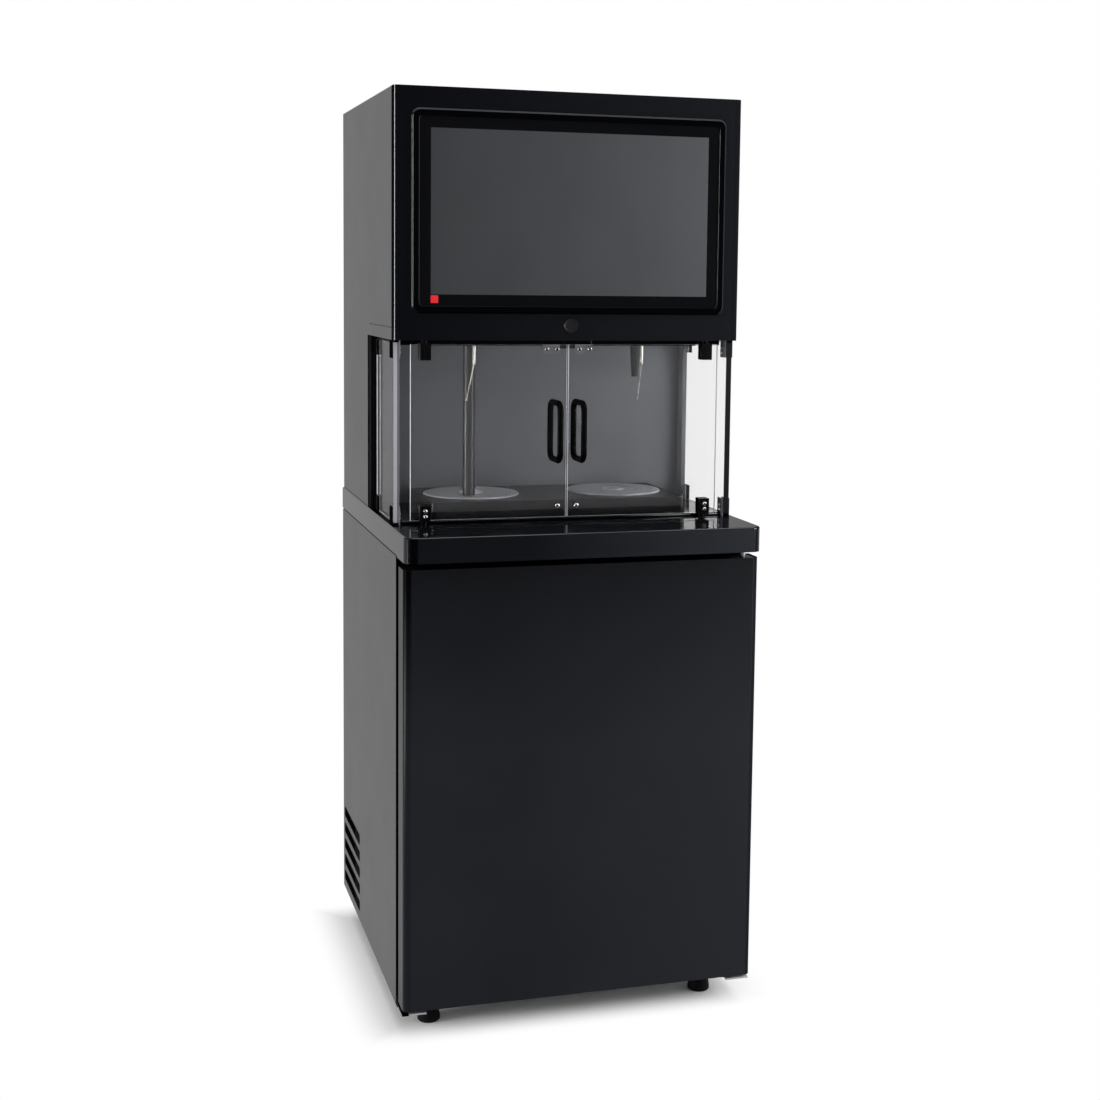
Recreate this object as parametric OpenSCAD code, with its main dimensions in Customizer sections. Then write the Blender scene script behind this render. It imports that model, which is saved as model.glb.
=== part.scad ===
// Self-service draft beer dispenser: a keg-cooler cabinet with a glazed dispensing chamber and a screen head.
// X runs to the right, Y to the back and Z up. The origin is on the floor, under the middle of the worktop.

/* [Overall] */
// Height of the whole dispenser
overall_h = 1553; // [1500:1:1640]
// Height of the worktop's surface above the floor
worktop_h = 838; // [810:1:870]
// Depth of the worktop, which is the depth of the whole dispenser
worktop_d = 676; // [660:1:720]
// Width of the cooler cabinet, which the worktop, the door and the head follow
cabinet_w = 603; // [540:1:700]
// Overhang of the worktop at each side of the cabinet
worktop_overhang = 0.5; // [0.5:0.5:10]
// Thickness of the worktop
worktop_t = 42; // [30:1:50]
// Radius of the worktop's front upright corners
worktop_corner_r = 18; // [10:1:40]
// Radius of the worktop's top edge
worktop_edge_r = 3; // [2:0.5:9]
// Height of the shadow groove under the worktop's sides
groove_h = 2.5; // [1.5:0.5:4]
// Depth of the shadow groove under the worktop's sides
groove_d = 4; // [3:0.5:6]

/* [Cabinet] */
// Thickness of the cabinet's outer sheet
skin_t = 2; // [1:0.5:3]
// Thickness of the insulated walls
wall_t = 45; // [35:1:50]
// Thickness of the inner liner
liner_t = 3; // [2:0.5:4]
// Thickness of the base pan
pan_t = 3; // [2:0.5:5]
// Depth of the machine compartment
machine_d = 200; // [195:1:215]
// Height of the machine compartment
machine_h = 250; // [230:1:280]
// Insulation over and before the machine compartment
step_wall_t = 40; // [30:1:50]
// Number of louvre slots in each side
vent_count = 5; // [3:1:6]
// Length of a louvre slot
vent_l = 130; // [80:1:160]
// Height of a louvre slot
vent_h = 15; // [8:1:20]
// Height from one slot to the next
vent_pitch = 32; // [24:1:36]
// Height of the lowest slot's middle above the cabinet's bottom edge
vent_rise = 28; // [20:1:40]
// Distance from the slots to the cabinet's back edge
vent_back = 20; // [10:1:40]

/* [Feet] */
// Height of the feet under the cabinet
foot_h = 40; // [30:1:50]
// Radius of a foot's pad
foot_r = 19; // [14:0.5:24]
// Radius of a foot's threaded stem
foot_stem_r = 5; // [4:0.5:6]
// Distance from the cabinet's side to the feet
foot_side = 59.5; // [40:0.5:80]
// Distance from the cabinet's front edge to the front feet
foot_front = 31; // [28:1:60]
// Distance from the cabinet's back edge to the rear feet
foot_back = 42; // [35:1:60]

/* [Cooler door] */
// Overhang of the cooler door at each side of the cabinet
door_overhang = 0.5; // [0:0.5:5]
// Thickness of the cooler door
door_t = 46; // [36:1:50]
// Radius of the door's front upright edges
door_r = 10; // [4:0.5:15]
// Distance from the worktop's front to the door's face
door_setback = 15; // [8:1:20]
// Thickness of the gasket between door and cabinet
gasket_t = 15; // [10:0.5:16]
// Width of the gasket's strip
gasket_w = 14; // [10:1:18]
// Distance from the door's edge to the gasket
gasket_in = 24; // [22:1:30]
// Height of the door's lower edge above the cabinet's bottom edge
door_bottom_gap = 16; // [14:1:24]
// Gap between the door and the worktop
door_top_gap = 12; // [10:1:16]
// Distance from the door's edge to the hinge pins
hinge_in = 20; // [16:1:24]
// Distance from the door's face to the hinge pins
hinge_back = 23; // [20:1:26]
// Radius of the hinge pins
hinge_pin_r = 4; // [3:0.5:5]
// Depth of a hinge pin in the door
hinge_pin_l = 22; // [15:1:30]
// Thickness of the hinge plates
hinge_plate_t = 3; // [2:0.5:4]
// Width of the hinge plates
hinge_plate_w = 40; // [30:1:50]

/* [Head and column] */
// Distance from the cabinet's side to the head's side
head_inset = 2.5; // [0:0.5:5]
// Distance from the worktop's front to the head's face
head_setback = 126; // [100:1:140]
// Height of the chamber between worktop and head
chamber_h = 306; // [290:1:330]
// Depth from the head's face to the chamber's back wall
chamber_d = 262; // [255:1:290]
// Thickness of the sheet metal
sheet_t = 2; // [1:0.5:3]
// Radius of the head's front upright edges
head_edge_r = 8; // [3:0.5:9]
// Depth of the front panel's folded edges
front_return = 18; // [18:1:24]
// Thickness of the back wall's panel
back_wall_t = 3; // [2:0.5:5]

/* [Glazing] */
// Thickness of the fixed side panels
panel_t = 10; // [6:0.5:12]
// Distance from the head's side to a side panel
panel_inset = 3; // [2:0.5:8]
// Distance from the head's face to the side panels' front edge
panel_setback = 19; // [15:1:30]
// Gap over and under a side panel, filled by its clips
panel_lift = 4; // [1.5:0.5:4]
// Depth of the jambs behind the side panels
jamb_d = 25; // [15:1:35]
// Width of the jambs
jamb_w = 13; // [11:1:20]
// Thickness of the clear doors
leaf_t = 6; // [5:0.5:8]
// Distance from the head's face to the clear doors
leaf_setback = 14; // [12:1:16]
// Gap between a clear door and the side panel
leaf_side_gap = 18; // [12:1:25]
// Gap between the two clear doors
leaf_meet_gap = 3; // [2:0.5:5]
// Gap between a clear door's pivot clip and the sill that it swings over
clip_run_gap = 0.5; // [0.4:0.1:2]
// Distance from a clear door's outer edge to its pivot
pivot_in = 23; // [18:1:30]
// Radius of the pivot pins
pivot_r = 3; // [2:0.5:4]

/* [Door fittings] */
// Width of a pivot clip
clip_w = 18; // [16:1:24]
// Height of a pivot clip on the glass
clip_h = 26; // [18:1:34]
// Thickness of a pivot clip before the glass
clip_front = 10; // [6:1:11]
// Thickness of a pivot clip behind the glass
clip_back = 6; // [4:1:8]
// Thickness of a pivot clip over the glass edge
clip_cap = 1.5; // [1:0.5:2]
// Radius of the pivot sockets
socket_r = 6; // [5:0.5:8]
// Distance between the two legs of a bow handle
handle_centres = 96; // [64:1:128]
// Radius of a bow handle's bar
handle_r = 4; // [4:0.5:6]
// Distance from the glass to the middle of a handle's bar
handle_reach = 30; // [25:1:40]
// Radius of a bow handle's bends
handle_bend = 14; // [12:1:20]
// Distance from the meeting edge to a handle
handle_in = 19; // [15:1:30]
// Width of a strike plate
strike_w = 30; // [20:1:40]
// Height of a strike plate
strike_h = 16; // [12:1:20]
// Thickness of a strike plate
strike_t = 1.2; // [1:0.1:2]
// Radius of a stud
stud_r = 3.5; // [3:0.5:5]
// Length of a side panel's clip along the panel
panel_clip_l = 22; // [15:1:30]
// Height of a side panel's clip
panel_clip_h = 26; // [15:1:30]
// Thickness of a side panel's clip
panel_clip_t = 2; // [1.5:0.5:3]

/* [Drip tray] */
// Thickness of the sill under the chamber
sill_t = 5; // [4:0.5:6]
// Distance from the head's face to the sill's front edge
sill_setback = 26; // [24:1:34]
// Distance from the side panel to the tray housing
tray_side = 62; // [50:1:80]
// Height of the tray housing
tray_h = 26; // [20:1:40]
// Thickness of the tray housing's walls
tray_wall_t = 3; // [2:0.5:4]
// Distance from the head's face to the tray housing
tray_setback = 54; // [48:1:60]
// Diameter of a cup plate
plate_d = 168; // [150:1:174]
// Thickness of a cup plate
plate_t = 4; // [3:0.5:6]
// Depth that a cup plate sits in the housing
plate_sink = 2; // [1:0.5:2.5]
// Distance from the tray housing's end to a cup plate
plate_side = 9; // [6:1:14]
// Gap between a cup plate and the back wall
plate_wall_gap = 6; // [5:1:12]
// Radius of the ring in the middle of a cup plate
plate_ring_r = 21; // [15:1:30]

/* [Nozzles] */
// Distance from a cup plate's middle to its nozzle, outwards
nozzle_out = 18; // [0:1:30]
// Distance from the head's face to the nozzles
nozzle_setback = 110; // [100:1:125]
// Radius of a nozzle at the ceiling
nozzle_r = 10.5; // [9:0.5:13]
// Radius of the short nozzle's tip
nozzle_tip_r = 6; // [4:0.5:8]
// Length of the short nozzle
nozzle_l = 67; // [30:1:80]
// Gap between the long filling tube and the tray housing
tube_foot_gap = 4.5; // [4.5:0.5:20]
// Distance from the head's face to the sensor stems
stem_setback = 73; // [65:1:80]
// Length of a sensor stem
stem_l = 42; // [20:1:50]
// Radius of a sensor stem
stem_r = 3.5; // [2.5:0.5:5]
// Radius of a sensor rod
rod_r = 1; // [0.8:0.1:2]
// Drop of a sensor rod
rod_drop = 63; // [40:1:80]
// Lean of the sensor rods to the back
rod_back = 21; // [0:1:24]
// Lean of the left sensor rod, outwards
rod_out_left = 8; // [0:1:20]
// Lean of the right sensor rod, outwards
rod_out_right = 0; // [0:1:20]

/* [Screen] */
// Distance from the head's side to the raised screen frame
frame_side = 29; // [20:1:40]
// Distance from the head's upper edge to the screen frame
frame_over = 35; // [20:1:45]
// Distance from the head's lower edge to the screen frame
frame_under = 44; // [42:1:60]
// Corner radius of the screen frame
frame_r = 14; // [8:1:20]
// Height of the screen frame over the head's face
frame_proud = 6; // [4:0.5:10]
// Width of the screen frame's rim
frame_rim = 12.5; // [8:0.5:16]
// Corner radius of the touch glass
glass_r = 6; // [3:0.5:10]
// Thickness of the touch glass
glass_t = 3; // [2:0.5:3.5]
// Distance from the touch glass's edge to the display module
glass_border = 9.5; // [5:0.5:15]
// Depth of the display module
module_d = 30; // [20:1:40]
// Side of the red indicator
indicator_s = 12.5; // [8:0.5:14]
// Distance from the touch glass's left edge to the indicator
indicator_side = 19; // [10:1:30]
// Distance from the touch glass's lower edge to the indicator
indicator_low = 4.5; // [2:0.5:10]
// Radius of the round button
button_r = 12.5; // [8:0.5:14]
// Height of the button's middle above the head's lower edge
button_rise = 25; // [22:1:26]
// Height of the button over the head's face
button_proud = 3; // [2:0.5:5]
// Travel of the button
button_travel = 2.5; // [1.5:0.5:3]

/* [Keg equipment] */
// Gap between a keg and the liner's side
keg_side_gap = 12; // [5:1:20]
// Room over a keg for its coupler and its line
keg_headroom = 157; // [145:1:200]
// Wall of a keg
keg_wall_t = 2; // [1.5:0.5:3]
// Gap between the two kegs
keg_gap = 8; // [4:1:14]
// Distance from the cabinet's front edge to the kegs
keg_front = 30; // [20:1:50]
// Radius of the beer lines
line_r = 4.75; // [4:0.25:6]
// Bend radius of the beer lines
line_bend = 38; // [30:1:38]
// Distance from the cabinet's back edge to the rising lines
riser_back = 138; // [130:1:150]
// Radius of the gas cylinder
gas_r = 38; // [30:1:42]
// Gap between the gas cylinder and the liner's side
gas_side_gap = 44; // [20:1:60]
// Room over the gas cylinder for its regulator
gas_headroom = 132; // [115:1:180]

/* [Hidden] */
$fn = 48;
// Gap between parts that slide or swing past each other
run_gap = 0.3;
// Radial clearance of a pin in its bore
pin_clear = 0.06;
// Overlap of a cutting shape past the face that it opens
cut = 1;

worktop_w = cabinet_w + 2 * worktop_overhang;
door_w = cabinet_w + 2 * door_overhang;
head_w = cabinet_w - 2 * head_inset;
leaf_lift = sill_t + clip_run_gap + clip_cap;

y_front = -worktop_d / 2;
y_rear = worktop_d / 2;
y_door = y_front + door_setback;
y_door_back = y_door + door_t;
y_cab = y_door_back + gasket_t;
y_head = y_front + head_setback;
y_wall = y_head + chamber_d;
y_leaf = y_head + leaf_setback;
y_leaf_back = y_leaf + leaf_t;
y_pivot = y_leaf + leaf_t / 2;
y_panel = y_head + panel_setback;
y_jamb = y_wall - jamb_d;
y_sill = y_head + sill_setback;
y_tray = y_head + tray_setback;
y_plate = y_wall - plate_wall_gap - plate_d / 2;
y_nozzle = y_head + nozzle_setback;
y_stem = y_head + stem_setback;
y_machine = y_rear - skin_t - machine_d;
y_step = y_machine - step_wall_t;
y_liner_back = y_rear - wall_t;
y_riser = y_rear - riser_back;
y_hinge = y_door + hinge_back;
y_body = y_head + front_return;
y_glass = y_head - glass_t;

z_top = worktop_h - worktop_t;
z_pan = foot_h + pan_t;
z_machine = z_pan + machine_h;
z_step = z_machine + step_wall_t;
z_floor = z_pan + wall_t;
z_ceiling = z_top - wall_t;
z_door = foot_h + door_bottom_gap;
z_door_top = z_top - door_top_gap;
z_head = worktop_h + chamber_h;
z_sill = worktop_h + sill_t;
z_tray = z_sill + tray_h;
z_leaf = worktop_h + leaf_lift;
z_leaf_top = z_head - leaf_lift;
z_panel = worktop_h + panel_lift;
z_panel_top = z_head - panel_lift;
head_h = overall_h - z_head;
z_button = z_head + button_rise;
z_soffit = z_head + sheet_t;
z_keg = z_floor + liner_t;
z_shelf = z_step + liner_t;

x_cab = cabinet_w / 2;
x_liner = x_cab - wall_t;
x_head = head_w / 2;
x_inner = x_head - sheet_t;
x_panel = x_head - panel_inset;
x_panel_in = x_panel - panel_t;
x_leaf = x_panel_in - leaf_side_gap;
x_pivot = x_leaf - pivot_in;
x_handle = leaf_meet_gap / 2 + handle_in;
x_hinge = door_w / 2 - hinge_in;
x_sill = x_inner - jamb_w - 1;
foot_x = x_cab - foot_side;

// Screen
frame_w = head_w - 2 * frame_side;
frame_h = head_h - frame_over - frame_under;
glass_w = frame_w - 2 * frame_rim;
glass_h = frame_h - 2 * frame_rim;
module_w = glass_w - 2 * glass_border;
module_h = glass_h - 2 * glass_border;
z_screen = z_head + frame_under + frame_h / 2;

// Tray and nozzles
tray_w = 2 * (x_panel_in - tray_side);
plate_x = tray_w / 2 - plate_side - plate_d / 2;
nozzle_x = plate_x + nozzle_out;

// Kegs and couplers
keg_d = x_liner - liner_t - keg_side_gap - keg_gap / 2;
keg_h = z_ceiling - liner_t - z_keg - keg_headroom;
x_keg = keg_d / 2 + keg_gap / 2;
y_keg = y_cab + keg_front + keg_d / 2;
z_keg_top = z_keg + keg_h;
keg_chime_h = 34;
keg_chime_t = 3;
keg_slot_h = 16;
keg_slot_w = 80;
keg_shoulder_r = 46;
keg_bead = 4;
keg_neck_r = 26;
keg_bore_r = 20;
keg_neck_h = 8;
coupler_r = 25;
coupler_stem_r = 17;
coupler_base_h = 40;
coupler_h = 96;
coupler_lever_l = 70;
gas_line_r = 4;
gas_bend = 16;
gas_port_l = 8;
gas_port_r = 7;
coupler_gas_z = z_keg_top - keg_chime_h + keg_neck_h + coupler_base_h + 28;
z_coupler_top = z_keg_top - keg_chime_h + keg_neck_h + coupler_h;
line_rise = line_bend + 2;
z_line = z_coupler_top + line_rise;
line_hole_r = line_r + 1.5;
valve_s = 40;
valve_h = 70;
z_valve = z_soffit + valve_h;
z_line_top = z_valve + line_bend + 8;
gas_x = x_liner - liner_t - gas_side_gap - gas_r;
gas_h = z_ceiling - liner_t - z_shelf - gas_headroom;
y_gas = (y_step + y_liner_back) / 2;
gas_neck_r = 13;
gas_neck_h = 14;
gas_valve_h = 22;
regulator_r = 16;
gauge_r = 19;
z_regulator = z_shelf + gas_h + gas_neck_h + gas_valve_h;

// Condenser and fan
condenser_t = 60;
condenser_side_gap = 102;
condenser_end_gap = 20;
condenser_d = machine_d - 2 * condenser_end_gap;
condenser_h = machine_h - 50;
condenser_fins_n = 18;
condenser_fin_t = 1.2;
condenser_tube_r = 4;
condenser_rows_n = 5;
shroud_t = 3;
shroud_rim = 3;
fan_gap = 8;
fan_tip_gap = 3;
fan_r = condenser_d / 2 - shroud_rim - fan_tip_gap;
fan_hub_r = 16;
fan_w = 20;
fan_blades_n = 5;
fan_pitch_deg = 32;
fan_blade_t = 2;
fan_shaft_r = 4;
fan_motor_r = 28;
fan_motor_l = 44;
x_condenser = -x_cab + skin_t + condenser_side_gap;
fan_x = x_condenser + condenser_t + fan_gap + fan_w / 2;
y_fan = y_machine + machine_d / 2;
z_fan = z_pan + condenser_h / 2 + 10;

// Compressor
compressor_side_gap = 86;
compressor_wall_gap = 18;
compressor_r = machine_d / 2 - compressor_wall_gap;
compressor_h = machine_h - 80;
compressor_dome_r = 40;
compressor_foot_h = 14;
compressor_foot_r = 11;
compressor_foot_x = 60;
compressor_foot_y = compressor_r - 12;
compressor_stub_l = 30;
compressor_stub_r = 5;
compressor_stub_y = 30;
compressor_x = x_cab - skin_t - compressor_side_gap - compressor_r;

// Button details
cap_back = 4;
plunger_l = 8;
plunger_r = 4;

// Mains inlet
inlet_w = 50;
inlet_h = 30;
inlet_d = 26;
inlet_x = x_inner - 97;
z_inlet = worktop_h + 60;

// Grille and cover slots
grille_frame = 24;
slot_h = 8;
slot_pitch = 20;
cover_slots_n = 6;
cover_slots_side = 67;
cover_slots_mid = 30;
cover_slots_over = 70;

// Controller box
box_w = 180;
box_d = 120;
box_h = 60;
box_wall_gap = 20;
box_slots_n = 6;
box_slot_w = 8;
box_slot_h = 30;

// Box between two corners
module block(low, high) {
    translate(low) cube(high - low);
}

// Rectangle with round corners, on its middle
module rounded_rect(w, h, r) {
    square([w - 2 * r, h], center = true);
    square([w, h - 2 * r], center = true);
    for (sx = [-1, 1], sy = [-1, 1]) translate([sx * (w / 2 - r), sy * (h / 2 - r)]) circle(r);
}

// Upright plate with round corners whose front face lies at y
module upright(w, h, r, y, t, x, z) {
    translate([x, y + t, z]) rotate([90, 0, 0]) linear_extrude(t) rounded_rect(w, h, r);
}

// Side outline in Y and Z, drawn out from x0 to x1
module side_profile(points, x0, x1) {
    translate([x0, 0, 0]) rotate([90, 0, 90]) linear_extrude(x1 - x0) polygon(points);
}

// Plan outline of a panel with round front corners, front face at y
module fronted(w, d, r, y) {
    translate([-w / 2, y + r]) square([w, d - r]);
    translate([-w / 2 + r, y]) square([w - 2 * r, r + cut]);
    for (s = [-1, 1]) translate([s * (w / 2 - r), y + r]) circle(r);
}

// Turns +Z towards a direction
module aim(v) {
    rotate([0, acos(v.z / norm(v)), atan2(v.y, v.x)]) children();
}

function unit(v) = v / norm(v);
// Angle that a route turns by at a point
function turn(u, v) = acos(u * v);
// Length that a bend takes from each straight
function bend_cut(p, i, bend) =
    i == 0 || i == len(p) - 1 ? 0 : bend * tan(turn(unit(p[i] - p[i - 1]), unit(p[i + 1] - p[i])) / 2);

// Bend of a round bar at a corner, from direction u to direction v
module elbow(corner, u, v, r, bend) {
    a = turn(u, v);
    n = unit(v - (u * v) * u);
    w = cross(u, n);
    o = corner - u * bend * tan(a / 2) + n * bend;
    multmatrix([
        [-n.x, u.x, w.x, o.x],
        [-n.y, u.y, w.y, o.y],
        [-n.z, u.z, w.z, o.z],
        [0, 0, 0, 1]
    ]) rotate_extrude(angle = a) translate([bend, 0]) circle(r);
}

// Round bar along a route of straights with equal bends
module bar(p, r, bend) {
    for (i = [0 : len(p) - 2]) {
        d = unit(p[i + 1] - p[i]);
        a = p[i] + d * bend_cut(p, i, bend);
        b = p[i + 1] - d * bend_cut(p, i + 1, bend);
        translate(a) aim(d) cylinder(h = norm(b - a), r = r);
    }
    for (i = [1 : 1 : len(p) - 2]) elbow(p[i], unit(p[i] - p[i - 1]), unit(p[i + 1] - p[i]), r, bend);
}

// Cabinet

// Outer steel wrap with louvre slots and an opening for the rear grille
module cabinet_shell() {
    color("#1c1d20") difference() {
        block([-x_cab, y_cab, foot_h], [x_cab, y_rear, z_top]);
        block([-x_cab + skin_t, y_cab - cut, foot_h - cut], [x_cab - skin_t, y_cab + skin_t, z_pan]);
        block([-x_cab + skin_t, y_cab + skin_t, foot_h - cut],
            [x_cab - skin_t, y_rear - skin_t, z_top + cut]);
        block([-x_liner, y_cab - cut, z_floor], [x_liner, y_cab + skin_t + cut, z_ceiling]);
        for (i = [0 : vent_count - 1]) {
            z = foot_h + vent_rise + i * vent_pitch;
            translate([0, y_rear - vent_back - vent_l / 2, z]) rotate([0, 90, 0])
                linear_extrude(cabinet_w + 2 * cut, center = true) rounded_rect(vent_h, vent_l, vent_h / 3);
        }
        block([-x_cab + grille_frame, y_rear - skin_t - cut, z_pan],
            [x_cab - grille_frame, y_rear + cut, z_machine]);
    }
}

module base_pan() {
    color("#3a3c40") difference() {
        block([-x_cab + skin_t, y_cab, foot_h], [x_cab - skin_t, y_rear - skin_t, z_pan]);
        feet_places() translate([0, 0, foot_h - cut]) cylinder(h = pan_t + 2 * cut, r = foot_stem_r);
    }
}

module feet_places() {
    for (x = [-foot_x, foot_x], y = [y_cab + foot_front, y_rear - foot_back]) translate([x, y, 0]) children();
}

// Levelling feet: a flared pad, a neck and a threaded stem through the pan
module feet() {
    pad_h = foot_h * 0.6;
    color("#111214") feet_places() rotate_extrude() polygon([
        [0, 0], [foot_r - 2, 0], [foot_r, 2], [foot_r, 8], [foot_r - 3, pad_h],
        [foot_stem_r + 4, pad_h], [foot_stem_r + 4, foot_h], [foot_stem_r, foot_h],
        [foot_stem_r, z_pan], [0, z_pan]
    ]);
}

function liner_outline(t, front) = [
    [front, z_floor + t], [y_step - t, z_floor + t], [y_step - t, z_step + t],
    [y_liner_back - t, z_step + t], [y_liner_back - t, z_ceiling - t], [front, z_ceiling - t]
];

module line_holes(z0, z1) {
    for (s = [-1, 1]) translate([s * nozzle_x, y_riser, z0]) cylinder(h = z1 - z0, r = line_hole_r);
}

module cabinet_insulation() {
    color("#d8cfa8") difference() {
        side_profile([
            [y_cab + skin_t, z_pan], [y_machine, z_pan], [y_machine, z_machine], [y_rear - skin_t, z_machine],
            [y_rear - skin_t, z_top], [y_cab + skin_t, z_top]
        ], -x_cab + skin_t, x_cab - skin_t);
        side_profile(liner_outline(0, y_cab - cut), -x_liner, x_liner);
        line_holes(z_ceiling - cut, z_top + cut);
    }
}

// Moulded liner with a step over the machine compartment
module inner_liner() {
    color("#e4e5e6") difference() {
        side_profile(liner_outline(0, y_cab), -x_liner, x_liner);
        side_profile(liner_outline(liner_t, y_cab - cut), -x_liner + liner_t, x_liner - liner_t);
        line_holes(z_ceiling - liner_t - cut, z_ceiling + cut);
    }
}

module rear_grille() {
    w = cabinet_w - 2 * grille_frame - 2 * run_gap;
    h = machine_h - 2 * run_gap;
    rows = floor((h - 2 * grille_frame) / slot_pitch);
    color("#26282b") difference() {
        upright(w, h, 4, y_rear - skin_t, skin_t, 0, z_pan + machine_h / 2);
        for (i = [0 : rows], x = [-w / 4, w / 4]) {
            z = z_pan + machine_h / 2 + (i - rows / 2) * slot_pitch;
            upright(w / 2 - grille_frame, slot_h, slot_h / 2 - 0.5, y_rear - skin_t - cut,
                skin_t + 2 * cut, x, z);
        }
    }
}

// Corner post of the worktop, round at the top edge
module worktop_corner() {
    r = worktop_corner_r;
    e = min(worktop_edge_r, r / 2);
    rotate_extrude($fn = 48) {
        square([r, worktop_t - e]);
        square([r - e, worktop_t]);
        translate([r - e, worktop_t - e]) circle(e);
    }
}

// Worktop with round front corners, cut straight at the back
module worktop() {
    color("#15161a") difference() {
        hull() for (s = [-1, 1], y = [y_front + worktop_corner_r, y_rear])
            translate([s * (worktop_w / 2 - worktop_corner_r), y, z_top]) worktop_corner();
        block([-worktop_w, y_rear, z_top - cut],
            [worktop_w, y_rear + worktop_corner_r + cut, worktop_h + cut]);
        line_holes(z_top - cut, worktop_h + cut);
        for (x = [-worktop_w / 2 - cut, worktop_w / 2 - groove_d]) block([x, y_cab, z_top - cut],
            [x + groove_d + cut, y_rear + cut, z_top + groove_h]);
    }
}

// Bright plates that carry the cooler door, with a plain pair on the other side
module hinge_brackets() {
    lip = 3;
    reach = 9;
    color("#c9ccd0") {
        translate([x_hinge, y_hinge, z_door_top - hinge_pin_l]) cylinder(
            h = hinge_pin_l + door_top_gap - hinge_plate_t, r = hinge_pin_r);
        block([x_hinge - hinge_plate_w / 2, y_door + reach, z_top - hinge_plate_t],
            [x_hinge + hinge_plate_w / 2, y_cab - lip, z_top]);
        block([-x_hinge - hinge_plate_w / 4, y_door + reach, z_top - hinge_plate_t],
            [-x_hinge + hinge_plate_w / 4, y_hinge + hinge_plate_w / 4, z_top]);
        translate([x_hinge, y_hinge, z_door - 7]) cylinder(h = hinge_pin_l + 7, r = hinge_pin_r);
        for (s = [-1, 1]) bottom_bracket(s * x_hinge, reach, lip);
    }
}

// Folded plate under a lower corner of the door, screwed to the front of the base
module bottom_bracket(x, reach, lip) {
    z = z_door - 7;
    translate([x, 0, 0]) {
        block([-hinge_plate_w / 2, y_door + reach, z - hinge_plate_t], [hinge_plate_w / 2, y_cab, z]);
        block([-hinge_plate_w / 2, y_cab - lip, z], [hinge_plate_w / 2, y_cab, z + 12]);
    }
}

// Cooler door

module hinge_bores() {
    translate([x_hinge, y_hinge, z_door - cut])
        cylinder(h = hinge_pin_l + cut + 1, r = hinge_pin_r + pin_clear);
    translate([x_hinge, y_hinge, z_door_top - hinge_pin_l - 1])
        cylinder(h = hinge_pin_l + cut + 1, r = hinge_pin_r + pin_clear);
}

// Folded steel pan with round upright edges, open at the back
module door_panel() {
    color("#202126") difference() {
        translate([0, 0, z_door]) linear_extrude(z_door_top - z_door) fronted(door_w, door_t, door_r, y_door);
        translate([0, 0, z_door + skin_t]) linear_extrude(z_door_top - z_door - 2 * skin_t)
            fronted(door_w - 2 * skin_t, door_t, door_r - skin_t, y_door + skin_t);
        hinge_bores();
    }
}

module door_foam() {
    color("#d8cfa8") difference() {
        translate([0, 0, z_door + skin_t]) linear_extrude(z_door_top - z_door - 2 * skin_t)
            fronted(door_w - 2 * skin_t, door_t - skin_t - liner_t, door_r - skin_t, y_door + skin_t);
        hinge_bores();
    }
}

// Inner face of the door, with a raised dam inside the gasket
module door_liner() {
    dam_in = gasket_in + gasket_w + 4;
    dam_w = 26;
    dam_h = gasket_t - 4;
    w = door_w - 2 * dam_in;
    h = z_door_top - z_door - 2 * dam_in;
    zc = (z_door + z_door_top) / 2;
    color("#e4e5e6") {
        block([-door_w / 2 + skin_t, y_door_back - liner_t, z_door + skin_t],
            [door_w / 2 - skin_t, y_door_back, z_door_top - skin_t]);
        difference() {
            upright(w, h, 20, y_door_back, dam_h, 0, zc);
            upright(w - 2 * dam_w, h - 2 * dam_w, 14, y_door_back - cut, dam_h + 2 * cut, 0, zc);
        }
    }
}

module door_gasket() {
    w = door_w - 2 * gasket_in;
    h = z_door_top - z_door - 2 * gasket_in;
    t = gasket_t - run_gap;
    zc = (z_door + z_door_top) / 2;
    color("#2b2c2e") difference() {
        upright(w, h, 8, y_door_back, t, 0, zc);
        upright(w - 2 * gasket_w, h - 2 * gasket_w, 4, y_door_back - cut, t + 2 * cut, 0, zc);
    }
}

// Keg equipment

// Half outline of a keg's body, drawn in by t
module keg_outline(t) {
    r = keg_d / 2 - keg_bead - t;
    z0 = keg_chime_h / 2 + t;
    z1 = keg_h - keg_chime_h - t;
    q = keg_shoulder_r - t;
    translate([0, z0]) square([r - q, z1 - z0]);
    translate([0, z0 + q]) square([r, z1 - z0 - 2 * q]);
    for (z = [z0 + q, z1 - q]) intersection() {
        translate([r - q, z]) circle(q);
        translate([0, z0]) square([r, z1 - z0]);
    }
}

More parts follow.
